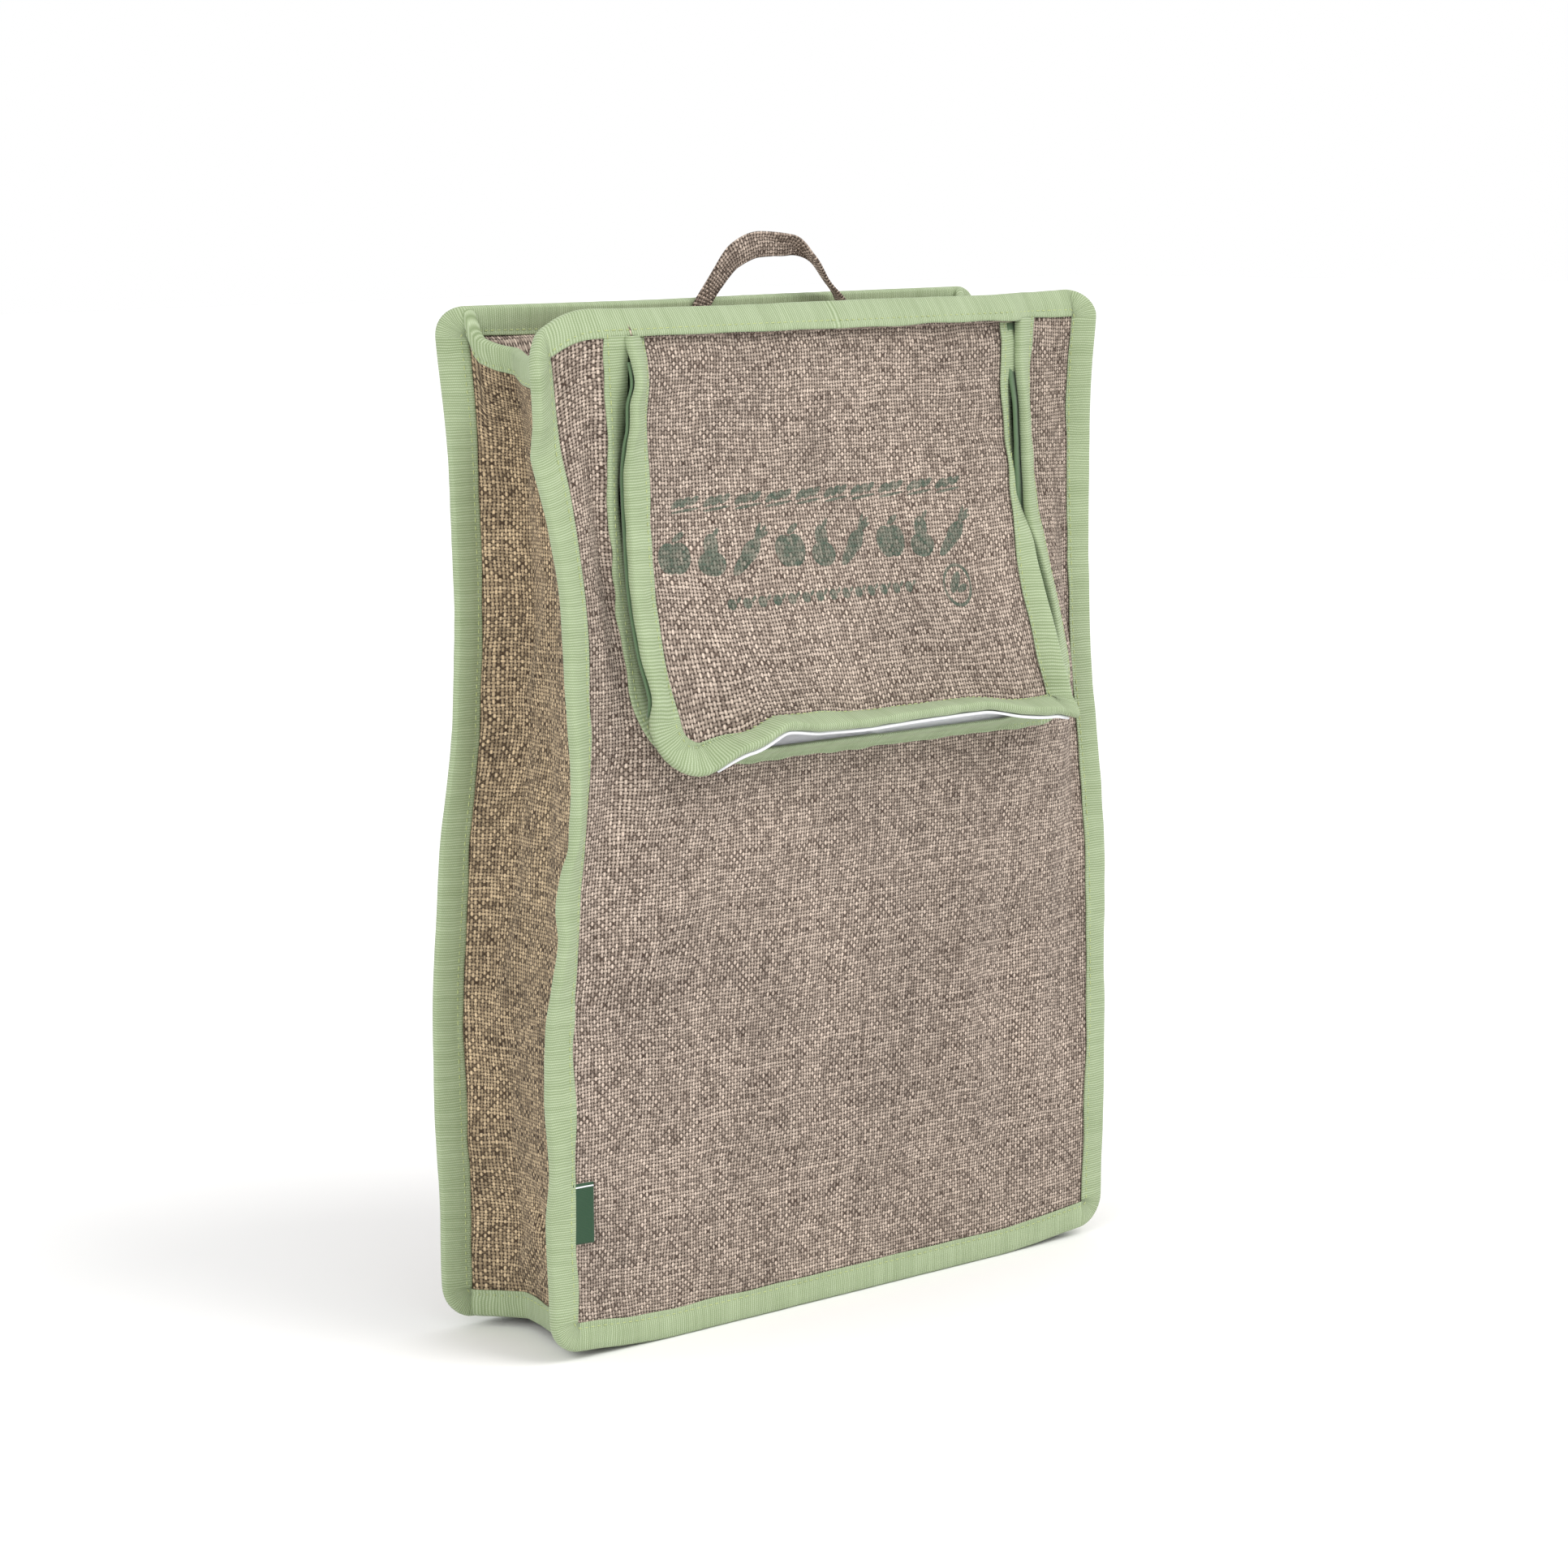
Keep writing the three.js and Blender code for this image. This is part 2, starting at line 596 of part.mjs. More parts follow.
// Stations that the pieces share, so that layers on each other have the same facets
const FRONT_X = stations([
  -CORNER_X,
  -HALF_WIDTH + TAPE_WIDTH + GAP + LABEL_WIDTH,
  OPENING_LEFT - TAPE_WIDTH,
  OPENING_LEFT - EDGE_ROOM,
  OPENING_LEFT + OPENING_RADIUS_LEFT / 2,
  OPENING_LEFT + OPENING_RADIUS_LEFT,
  OPENING_RIGHT - OPENING_RADIUS_RIGHT,
  OPENING_RIGHT + EDGE_ROOM,
  OPENING_RIGHT + TAPE_WIDTH,
  CORNER_X,
]);
const BACK_X = stations([-CORNER_X, 0, CORNER_X]);
const WALL_Z = stations([
  RIM_RADIUS,
  OPENING_BOTTOM - TAPE_WIDTH,
  OPENING_BOTTOM - EDGE_ROOM,
  OPENING_BOTTOM + OPENING_RADIUS_RIGHT,
  OPENING_BOTTOM + OPENING_RADIUS_LEFT,
  HANG_TOP - STEP_LENGTH,
  BAG_HEIGHT - RIM_RADIUS,
]);
const FOLD_Y = SEAM_Y * (2 * FOLD_AT - 1);
const DEPTH_Y = stations([-TAB_Y, FOLD_Y, TAB_Y]);

const RIM_CORNERS = [-1, 1].flatMap((h) =>
  [-1, 1].map((v) => ({ h, v, radius: RIM_RADIUS - EDGE_ROOM }))
);
const PANEL_BOX = rect(
  -HALF_WIDTH + EDGE_ROOM,
  HALF_WIDTH - EDGE_ROOM,
  EDGE_ROOM,
  BAG_HEIGHT - EDGE_ROOM
);
const roundPanel = (x, z) => roundCorner(x, z, PANEL_BOX, RIM_CORNERS);
const withEdges = (places, low, high) => [low, ...places, high];

// Front panel: a whole panel with the opening's U cut out of it up to the top seam.
function frontPanel() {
  const cut = grown(OPENING_BOX, EDGE_ROOM);
  const cutCorners = [
    { h: -1, v: -1, radius: OPENING_RADIUS_LEFT + EDGE_ROOM },
    { h: 1, v: -1, radius: OPENING_RADIUS_RIGHT + EDGE_ROOM },
  ];
  return flatSheet({
    xs: withEdges(FRONT_X, PANEL_BOX.left, PANEL_BOX.right),
    zs: withEdges(WALL_Z, PANEL_BOX.bottom, PANEL_BOX.top),
    depthAt: () => -PANEL_Y,
    round: (x, z) => roundCorner(...roundPanel(x, z), cut, cutCorners),
    keep: (x, z) => x < cut.left || x > cut.right || z < cut.bottom,
    thickness: CLOTH,
  });
}

function backPanel() {
  return flatSheet({
    xs: withEdges(BACK_X, PANEL_BOX.left, PANEL_BOX.right),
    zs: withEdges(WALL_Z, PANEL_BOX.bottom, PANEL_BOX.top),
    depthAt: () => PANEL_Y,
    front: 1,
    round: roundPanel,
    thickness: CLOTH,
  });
}

// Side gusset: a wall whose front and back edges turn outward into the rims, and whose ends run on
// past the base and the top into the depth seams. side is -1 for the left, 1 for the right.
function sideGusset(side) {
  const ys = [-FLANGE_Y, -FLANGE_Y, ...DEPTH_Y, FLANGE_Y, FLANGE_Y];
  const last = ys.length - 1;
  const tip = SEAM_CLEAR + EDGE_ROOM;
  const zs = [tip, ...WALL_Z, BAG_HEIGHT - tip];
  return sheetGeometry({
    columns: ys.length,
    rows: zs.length,
    node: (i, j) => {
      const isTip = i === 0 || i === last;
      const turn = i < 2 ? 1 : i > last - 2 ? -1 : 0;
      const x = isTip ? PANEL_BOX.right : SIDE_X;
      return {
        place: new THREE.Vector3(side * x, ys[i], zs[j]),
        outward: new THREE.Vector3(isTip ? 0 : side, turn, 0),
      };
    },
    keep: (i, j) => (i > 1 && i < last - 2) || (j > 0 && j < zs.length - 2),
    thickness: CLOTH,
  });
}

// Top or base gusset: a level sheet whose four edges turn outward into the seams. level is 1 for
// the top, -1 for the base.
function levelGusset(level) {
  const xs = [-TAB_X, ...between(FRONT_X, -TAB_X, TAB_X), TAB_X];
  const ys = [-FLANGE_Y, -FLANGE_Y, ...DEPTH_Y, FLANGE_Y, FLANGE_Y];
  const lastX = xs.length - 1;
  const lastY = ys.length - 1;
  const core = level > 0 ? TOP_Z : BASE_Z;
  const flangeTip = level > 0 ? PANEL_BOX.top : PANEL_BOX.bottom;
  const tabTip = level > 0 ? BAG_HEIGHT - SEAM_CLEAR - EDGE_ROOM : SEAM_CLEAR + EDGE_ROOM;
  return sheetGeometry({
    columns: xs.length,
    rows: ys.length,
    node: (i, j) => {
      const isTab = i === 0 || i === lastX;
      const isFlange = j === 0 || j === lastY;
      const turnX = i < 2 ? 1 : i > lastX - 2 ? -1 : 0;
      const turnY = j < 2 ? 1 : j > lastY - 2 ? -1 : 0;
      let z = core;
      if (isFlange) z = flangeTip;
      if (isTab) z = tabTip;
      return {
        place: new THREE.Vector3(xs[i], ys[j], z),
        outward: new THREE.Vector3(
          isFlange ? 0 : turnX,
          isTab ? 0 : turnY,
          isTab || isFlange ? 0 : level
        ),
      };
    },
    keep: (i, j) => {
      const isTab = i === 0 || i === lastX - 1;
      const inTabRange = j > 1 && j < lastY - 2;
      return !isTab || inTabRange;
    },
    thickness: CLOTH,
  });
}

// Tape on the seam between a side gusset and the top or base.
function depthBinding(side, level) {
  const ys = between(DEPTH_Y, -SEAM_Y, SEAM_Y);
  const foldZ = level > 0 ? BAG_HEIGHT - SEAM_CLEAR : SEAM_CLEAR;
  return tapeGeometry({
    path: ys,
    width: TAPE_WIDTH - SEAM_CLEAR,
    slot: RIM_SLOT,
    place: (y, reach, across) =>
      new THREE.Vector3(side * (SIDE_X - LAYER + across), y, foldZ - level * reach),
  });
}

function rimBinding(side) {
  return tapeGeometry({
    path: rimPath(side < 0 ? FRONT_X : BACK_X, WALL_Z),
    width: TAPE_WIDTH,
    slot: RIM_SLOT,
    place: uprightTape(() => side * RIM_Y),
    closed: true,
  });
}

// Depth of the flap: in the panel's own plane at the top seam, then a step in front of it.
const flapDepth = (z) =>
  -PANEL_Y - FLAP_PROUD * (1 - ramp({ from: HANG_TOP - STEP_LENGTH, to: HANG_TOP }, z));

const FLAP_RADIUS_LEFT = OPENING_RADIUS_LEFT - FLAP_SLOT;
const FLAP_RADIUS_RIGHT = OPENING_RADIUS_RIGHT - FLAP_SLOT;
const FLAP_CLOTH = grown(FLAP_BOX, -EDGE_ROOM);
const FLAP_X = stations([
  FLAP_CLOTH.left,
  FLAP_BOX.left + FLAP_RADIUS_LEFT,
  FLAP_BOX.right - FLAP_RADIUS_RIGHT,
  FLAP_CLOTH.right,
]);
const FLAP_Z = stations([
  FLAP_CLOTH.bottom,
  FLAP_BOX.bottom + FLAP_RADIUS_RIGHT,
  FLAP_BOX.bottom + FLAP_RADIUS_LEFT,
  HANG_TOP - STEP_LENGTH,
  HANG_TOP,
  PANEL_BOX.top,
]);

function flap() {
  const corners = [
    { h: -1, v: -1, radius: FLAP_RADIUS_LEFT - EDGE_ROOM },
    { h: 1, v: -1, radius: FLAP_RADIUS_RIGHT - EDGE_ROOM },
  ];
  return flatSheet({
    xs: FLAP_X,
    zs: FLAP_Z,
    depthAt: flapDepth,
    round: (x, z) => roundCorner(x, z, FLAP_CLOTH, corners),
    thickness: CLOTH,
    move: drapeFlap,
  });
}

function flapBinding() {
  return tapeGeometry({
    path: hangingPath(FLAP_BOX, FLAP_RADIUS_LEFT, FLAP_RADIUS_RIGHT, FLAP_X, FLAP_Z, 1),
    width: FLAP_TAPE_WIDTH,
    slot: EDGE_SLOT,
    place: uprightTape(flapDepth),
    cutFromFold: true,
    move: drapeFlap,
  });
}

function openingBinding() {
  return tapeGeometry({
    path: hangingPath(OPENING_BOX, OPENING_RADIUS_LEFT, OPENING_RADIUS_RIGHT, FRONT_X, WALL_Z, -1),
    width: TAPE_WIDTH,
    slot: EDGE_SLOT,
    place: uprightTape(() => -PANEL_Y),
  });
}

// Closure strip sewn behind the opening's tape, reaching out under the flap.
function openingStrip(xs, zs) {
  return flatSheet({
    xs,
    zs,
    depthAt: () => -PANEL_Y + STRIP_BACK,
    thickness: STRIP,
  });
}

function openingStripSide(side) {
  const edge = side < 0 ? OPENING_LEFT : OPENING_RIGHT;
  const xs = [edge + side * TAPE_WIDTH, edge, edge - side * STRIP_REACH].sort((a, b) => a - b);
  return openingStrip(xs, between(WALL_Z, OPENING_BOTTOM + STRIP_REACH + GAP, HANG_TOP));
}

function openingStripBottom() {
  const xs = between(FRONT_X, OPENING_LEFT - TAPE_WIDTH, OPENING_RIGHT + TAPE_WIDTH);
  const low = OPENING_BOTTOM - TAPE_WIDTH;
  return openingStrip(xs, [low, OPENING_BOTTOM, OPENING_BOTTOM + STRIP_REACH]);
}

// Closure strip sewn behind the flap's tape.
function flapStrip(xs, zs) {
  return flatSheet({
    xs,
    zs,
    depthAt: () => -FLAP_Y + STRIP_BACK,
    thickness: STRIP,
    move: drapeFlap,
  });
}

function flapStripSide(side) {
  const edge = side < 0 ? FLAP_BOX.left : FLAP_BOX.right;
  const radius = side < 0 ? FLAP_RADIUS_LEFT : FLAP_RADIUS_RIGHT;
  const xs = [edge, edge - side * FLAP_TAPE_WIDTH].sort((a, b) => a - b);
  return flapStrip(xs, between(FLAP_Z, FLAP_BOX.bottom + radius, HANG_TOP - STEP_LENGTH));
}

function flapStripBottom() {
  const low = FLAP_BOX.left + FLAP_RADIUS_LEFT;
  const high = FLAP_BOX.right - FLAP_RADIUS_RIGHT;
  const zs = [FLAP_BOX.bottom, FLAP_BOX.bottom + FLAP_TAPE_WIDTH];
  return flapStrip(between(FLAP_X, low, high), zs);
}

// Hanging loop: a flat strap whose feet stand on the top gusset against the back rim's tape.
function hangingLoop() {
  const depth = RIM_Y - RIM_THICKNESS / 2 - GAP - LOOP_THICKNESS / 2;
  const foot = TOP_Z + CLOTH / 2 + GAP;
  const line = LOOP_LINE.map(
    (row) =>
      new THREE.Vector3(
        LOOP_OFFSET + (row.along - 0.5) * LOOP_SPAN,
        depth - row.forward * LOOP_STRAP,
        foot + row.up * LOOP_RISE
      )
  );
  const points = [];
  const faces = [];
  line.forEach((centre, k) => {
    const isFoot = k === 0 || k === line.length - 1;
    const along = line[Math.min(k + 1, line.length - 1)].clone().sub(line[Math.max(k - 1, 0)]);
    along.normalize();
    const wide = isFoot
      ? new THREE.Vector3(k === 0 ? 1 : -1, 0, 0)
      : new THREE.Vector3(along.z, 0, -along.x);
    const thick = new THREE.Vector3(0, 1, 0);
    const twist = THREE.MathUtils.degToRad(LOOP_LINE[k].twist);
    wide.applyAxisAngle(along, twist);
    thick.applyAxisAngle(along, twist);
    for (const [w, t] of [[1, 1], [1, -1], [-1, -1], [-1, 1]]) {
      const corner = centre
        .clone()
        .addScaledVector(wide, (w * LOOP_STRAP) / 2)
        .addScaledVector(thick, (t * LOOP_THICKNESS) / 2);
      points.push(drape(corner));
    }
  });
  for (let r = 0; r < line.length - 1; r += 1) {
    for (let k = 0; k < 4; k += 1) {
      const [a, b] = [r * 4 + k, r * 4 + ((k + 1) % 4)];
      faces.push([a, b, b + 4], [a, b + 4, a + 4]);
    }
  }
  const end = (line.length - 1) * 4;
  faces.push([2, 1, 0], [3, 2, 0], [end, end + 1, end + 2], [end, end + 2, end + 3]);
  return closedGeometry(points, faces);
}

function sideLabel() {
  const left = -HALF_WIDTH + TAPE_WIDTH + GAP;
  return flatSheet({
    xs: [left, left + LABEL_WIDTH],
    zs: [LABEL_UP, LABEL_UP + LABEL_HEIGHT],
    depthAt: () => -PANEL_Y - CLOTH / 2 - GAP - LABEL_THICKNESS / 2,
    thickness: LABEL_THICKNESS,
  });
}

const matte = (color, roughness) => new THREE.MeshStandardMaterial({ color, roughness, metalness: 0 });
const burlap = matte(0xa58f7b, 0.95);
const gussetBurlap = matte(0x9c8166, 0.95);
const greenTape = matte(0xb5cc94, 0.8);
const whiteStrip = matte(0xe8eaf0, 0.7);
const darkLabel = matte(0x2f5a38, 0.6);

const bag = new THREE.Group();
const add = (name, geometry, material) => {
  const mesh = new THREE.Mesh(geometry, material);
  mesh.name = name;
  bag.add(mesh);
};

add('front_panel', frontPanel(), burlap);
add('back_panel', backPanel(), burlap);
add('left_gusset', sideGusset(-1), gussetBurlap);
add('right_gusset', sideGusset(1), gussetBurlap);
add('top_gusset', levelGusset(1), burlap);
add('bottom_gusset', levelGusset(-1), burlap);
add('flap', flap(), burlap);
add('front_rim_binding', rimBinding(-1), greenTape);
add('back_rim_binding', rimBinding(1), greenTape);
add('top_left_binding', depthBinding(-1, 1), greenTape);
add('top_right_binding', depthBinding(1, 1), greenTape);
add('bottom_left_binding', depthBinding(-1, -1), greenTape);
add('bottom_right_binding', depthBinding(1, -1), greenTape);
add('opening_binding', openingBinding(), greenTape);
add('flap_binding', flapBinding(), greenTape);
add('opening_strip_left', openingStripSide(-1), whiteStrip);
add('opening_strip_right', openingStripSide(1), whiteStrip);
add('opening_strip_bottom', openingStripBottom(), whiteStrip);
add('flap_strip_left', flapStripSide(-1), whiteStrip);
add('flap_strip_right', flapStripSide(1), whiteStrip);
add('flap_strip_bottom', flapStripBottom(), whiteStrip);
add('hanging_loop', hangingLoop(), burlap);
add('side_label', sideLabel(), darkLabel);

// Origin on the floor, under the middle of the whole bag
const extent = new THREE.Box3().setFromObject(bag);
const middle = extent.getCenter(new THREE.Vector3());
for (const mesh of bag.children) mesh.geometry.translate(-middle.x, -middle.y, -extent.min.z);

export default bag;
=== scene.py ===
"""Looks of a produce storage bag: burlap cloth, ribbed seam tape, a front flap and a hanging loop."""

import math

import bmesh
import bpy
import numpy as np
from bpy.props import FloatProperty, FloatVectorProperty, IntProperty, PointerProperty
from mathutils import Matrix, Vector


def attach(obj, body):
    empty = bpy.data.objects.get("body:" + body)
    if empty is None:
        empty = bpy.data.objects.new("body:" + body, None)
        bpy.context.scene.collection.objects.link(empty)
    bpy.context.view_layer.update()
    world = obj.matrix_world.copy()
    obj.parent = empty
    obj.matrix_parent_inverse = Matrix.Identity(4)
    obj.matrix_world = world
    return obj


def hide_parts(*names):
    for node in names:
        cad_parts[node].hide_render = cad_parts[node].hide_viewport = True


bl_info = {
    "name": "Produce Storage Bag",
    "version": (1, 0, 0),
    "blender": (4, 5, 0),
    "location": "View3D > Sidebar > Storage Bag",
    "description": "Builds a cloth storage bag with taped seams, a front flap and a hanging loop",
    "category": "Add Mesh",
}

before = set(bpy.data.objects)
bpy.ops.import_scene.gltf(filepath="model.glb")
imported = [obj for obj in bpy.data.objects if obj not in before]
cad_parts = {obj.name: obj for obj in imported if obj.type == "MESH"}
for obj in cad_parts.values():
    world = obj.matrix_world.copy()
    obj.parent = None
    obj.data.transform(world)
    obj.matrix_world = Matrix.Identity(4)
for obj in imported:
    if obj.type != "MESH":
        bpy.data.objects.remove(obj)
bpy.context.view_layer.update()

MM = 0.001
TAU = 2 * math.pi

# Sizes of the plain bag, before its cloth is draped, in millimetres
BAG_WIDTH = 304.0
BAG_DEPTH = 76.0
BAG_HEIGHT = 415.0
CLOTH = 1.0
TAPE = 1.0
TAPE_WIDTH = 12.0
RIM_RADIUS = 12.5
SEAM_CLEAR = 0.5
OPENING_WIDTH = 213.0
OPENING_OFFSET = -2.0
OPENING_LENGTH = 170.0
RADIUS_LEFT = 20.0
RADIUS_RIGHT = 10.0
FLAP_SLOT = 0.8
FLAP_TAPE_WIDTH = 12.0
STEP_LENGTH = 8.0
STRIP = 1.0
STRIP_REACH = 13.0
STRIP_SHOWN = 4.0
STRIP_GAP = 0.45
LOOP_SPAN = 84.0
LOOP_OFFSET = 25.5
LOOP_RISE = 33.0
LOOP_STRAP = 11.0
LOOP_THICKNESS = 1.6
LABEL_WIDTH = 8.0
LABEL_HEIGHT = 26.0
LABEL_THICKNESS = 0.6
LABEL_UP = 46.0
GAP = 0.3
EDGE_GAP = 0.5
FOLD_ROOM = 2.0
SEAM_GAP = 0.5
TAPE_TUCK = 2.0
SEAM_EASE = 8.0
LIP_EASE = 14.0
FOLD_EASE = 12.0
DEPTH_OVERHANG = 1.5
LABEL_TUCK = 1.5

# How far the cloth departs from a plain box, in millimetres
WAIST_PINCH = 10.5
BELLY = 17.0
BACK_BELLY = 5.0
GUSSET_FOLD = 13.0
BACK_LEAN = 9.0
CORNER_DROOP = 14.0
CORNER_SET_BACK = 9.0
CORNER_LIFT = 4.5
FLAP_LIFT = 14.0
FLAP_SHIFT = 7.0
FLAP_GAPE = 4.5
MOUTH_SPREAD = 8.0
MOUTH_PUSH = 9.0
MOUTH_LIP = 10.0
MOUTH_DROP = 5.5
ROLL_BEND = 2.4
FLAP_SETTLE = 1.2

# Sizes that follow from those above
HALF_WIDTH = BAG_WIDTH / 2
RIM_SLOT = 2 * CLOTH + 3 * GAP
RIM_THICKNESS = RIM_SLOT + 2 * TAPE
EDGE_SLOT = CLOTH + 2 * EDGE_GAP
EDGE_THICKNESS = EDGE_SLOT + 2 * TAPE
RIM_Y = (BAG_DEPTH - RIM_THICKNESS) / 2
LAYER = (CLOTH + GAP) / 2
EDGE_ROOM = TAPE + FOLD_ROOM
SEAM_IN = TAPE_WIDTH + GAP + CLOTH / 2
SIDE_X = HALF_WIDTH - SEAM_IN
TAB_X = SIDE_X - CLOTH - GAP
BASE_Z = SEAM_IN
TOP_Z = BAG_HEIGHT - SEAM_IN
SEAM_Y = RIM_Y - RIM_THICKNESS / 2 - SEAM_GAP
FLANGE_Y = RIM_Y - LAYER
PANEL_Y = RIM_Y + LAYER
OPENING_LEFT = OPENING_OFFSET - OPENING_WIDTH / 2
OPENING_RIGHT = OPENING_OFFSET + OPENING_WIDTH / 2
OPENING_BOTTOM = BAG_HEIGHT - OPENING_LENGTH
STRIP_BACK = EDGE_THICKNESS / 2 + STRIP_GAP + STRIP / 2
FLAP_PROUD = STRIP + GAP
FLAP_Y = PANEL_Y + FLAP_PROUD
HANG_TOP = TOP_Z - CLOTH / 2 - GAP
TAPE_TOP = HANG_TOP + TAPE_TUCK
CORNER_X = HALF_WIDTH - RIM_RADIUS
RIM_SEAM_X = HALF_WIDTH - TAPE_WIDTH
RIM_SEAM_Z = BAG_HEIGHT - TAPE_WIDTH
OPENING_BOX = (OPENING_LEFT, OPENING_RIGHT, OPENING_BOTTOM, BAG_HEIGHT)
FLAP_BOX = (OPENING_LEFT + FLAP_SLOT, OPENING_RIGHT - FLAP_SLOT, OPENING_BOTTOM + FLAP_SLOT, BAG_HEIGHT)

# Side rims drawn in towards the waist: height as a share, pinch as a share of WAIST_PINCH
WAIST = dict(
    at=(0.0, 0.3, 0.47, 0.54, 0.61, 0.68, 0.76, 0.87, 1.0),
    pinch=(0.0, -0.1, 0.35, 0.68, 0.95, 1.0, 0.95, 0.76, 0.28),
)
# Front pushed out under the flap: shares of BELLY, up the height and across the half width
BELLY_UP = dict(
    at=(0.0, 0.05, 0.15, 0.27, 0.4, 0.5, 0.57, 0.65, 0.75, 0.86, 0.95, 1.0),
    out=(0.0, 0.02, 0.18, 0.42, 0.74, 0.97, 1.0, 0.75, 0.32, 0.04, 0.0, 0.0),
)
BELLY_ACROSS = dict(
    at=(0.0, 0.5, 0.7, 0.8, 0.9, 0.97, 1.1),
    out=(1.0, 0.95, 0.82, 0.68, 0.44, 0.3, 0.3),
)
# Edge of the opening up the height: its sides pulled apart, its right corner pushed forward and its
# lower edge rolled out as a lip, in shares of the MOUTH lengths, and how far these reach across
MOUTH_UP = dict(
    at=(0.33, 0.5, 0.562, 0.592, 0.622, 0.66, 0.72, 0.79, 0.87, 0.94, 1.0),
    left=(0.0, 0.0, -0.1, -0.15, -0.1, 0.05, 0.24, 0.3, 0.15, 0.05, 0.0),
    right=(0.0, 0.3, 0.6, 0.9, 1.0, 1.0, 0.85, 0.55, 0.3, 0.1, 0.0),
    push=(0.0, 0.35, 0.75, 0.95, 1.0, 0.85, 0.5, 0.15, 0.0, 0.0, 0.0),
    lip=(0.0, 0.0, 0.0, 1.0, 1.1, 0.9, 0.45, 0.1, 0.0, 0.0, 0.0),
)
MOUTH_ACROSS = dict(
    at=(-0.9, -0.78, -0.58, -0.42, 0.0, 0.42, 0.62, 0.78, 0.9),
    spread=(0.0, -1.0, -0.9, -0.6, 0.0, 0.7, 1.0, 1.0, 0.0),
    push=(0.0, 0.0, 0.0, 0.0, 0.0, 0.3, 0.9, 0.9, 0.0),
    lip=(0.0, 0.0, 0.3, 1.0, 1.0, 1.0, 0.2, 0.0, 0.0),
)
# Inward fold of the side gussets up the height, a share of GUSSET_FOLD
FOLD_UP = dict(
    at=(0.0, 0.06, 0.2, 0.45, 0.7, 1.0),
    deep=(1.0, 0.95, 0.62, 0.7, 0.95, 0.9),
)
FOLD_AT = 0.71
CREST_SOFTNESS = 0.35
# Back rim leaning forward at the top of the left side, a share of BACK_LEAN
LEAN_UP = dict(at=(0.0, 0.33, 0.6, 0.8, 1.0), lean=(0.1, 0.1, 0.35, 0.8, 1.0))
# Lower corners lifted off the floor, a share of CORNER_LIFT across the half width
LIFT_ACROSS = dict(at=(0.0, 0.6, 0.72, 0.86, 1.0), lift=(0.0, 0.0, 0.2, 0.62, 1.0))
# Free edge of the flap from left to right, in shares of FLAP_LIFT and FLAP_SHIFT, and the degrees by which
# its tape rolls forward
FLAP_EDGE = dict(
    at=(0.0, 0.06, 0.15, 0.23, 0.32, 0.45, 0.58, 0.72, 0.82, 0.92, 1.0),
    lift=(0.22, 0.22, 0.2, 0.2, 0.16, 0.07, 0.05, 0.05, 0.08, 0.2, 0.4),
    shift=(-0.3, -0.3, -0.2, -0.1, 0.0, 0.1, 0.1, 0.0, -0.1, -0.2, 0.0),
    rise=(-2.3, -2.2, -1.1, 0.2, 0.17, -0.21, -0.23, -0.25, -0.66, -1.4, -1.7),
    roll=(10, 35, 74, 70, 55, 70, 75, 77, 73, 70, 40),
)
# Sides of the flap drawn in up the flap, in shares of FLAP_GAPE
FLAP_SIDES = dict(
    at=(0.0, 0.08, 0.16, 0.25, 0.34, 0.44, 0.54, 0.64, 0.74, 0.84, 0.92, 1.0),
    left=(-1.2, -1.5, -2.1, -2.6, -2.55, -2.25, -1.9, -1.7, -1.75, -1.45, -0.95, -0.9),
    right=(0.1, 0.3, 0.85, 1.04, 0.8, -0.15, -0.74, -1.1, -0.85, -0.7, -0.85, -0.93),
)
# Sag of the depth seams at the top, from the front to the back, in millimetres
SAG_DEPTH = dict(
    at=(-1.0, -0.84, -0.6, 0.0, 0.6, 0.9, 1.0),
    left=(0.0, 9.0, 13.5, 15.0, 14.5, 11.5, 0.0),
    right=(0.0, 2.5, 5.0, 6.0, 5.0, 3.0, 0.0),
)
# Where the free flange of a taped seam turns forward, in degrees by height in millimetres
LEFT_FRONT_TURN = dict(
    at=(
        0, 23, 53, 79, 106, 121, 140, 155, 170, 184, 198, 208,
        225, 250, 277, 303, 328, 354, 367, 374, 385, 397, 415,
    ),
    turn=(0, -1, -9, 8, -9, -4, 6, 18, 26, 12, 22, 34, 30, 16, 8, 6, 2, -6, -14, 2, 20, 24, 24),
)
RIGHT_FRONT_TURN = dict(
    at=(0, 60, 130, 200, 250, 300, 330, 385, 415),
    turn=(0, 4, -3, 7, 10, 14, 24, 34, 36),
)
LEFT_BACK_TURN = dict(
    at=(0, 40, 100, 180, 250, 300, 350, 385, 415),
    turn=(-10, -18, -22, -20, -9, -7, -16, -34, -36),
)
RIGHT_BACK_TURN = dict(at=(0, 120, 260, 415), turn=(0, -8, 4, -6))
TOP_TURN = dict(
    at=(-152, -100, -40, 20, 80, 130, 152),
    front=(-10, -28, -34, -30, -34, -28, -10),
    back=(-4, 10, 18, 12, 8, 4, 0),
)
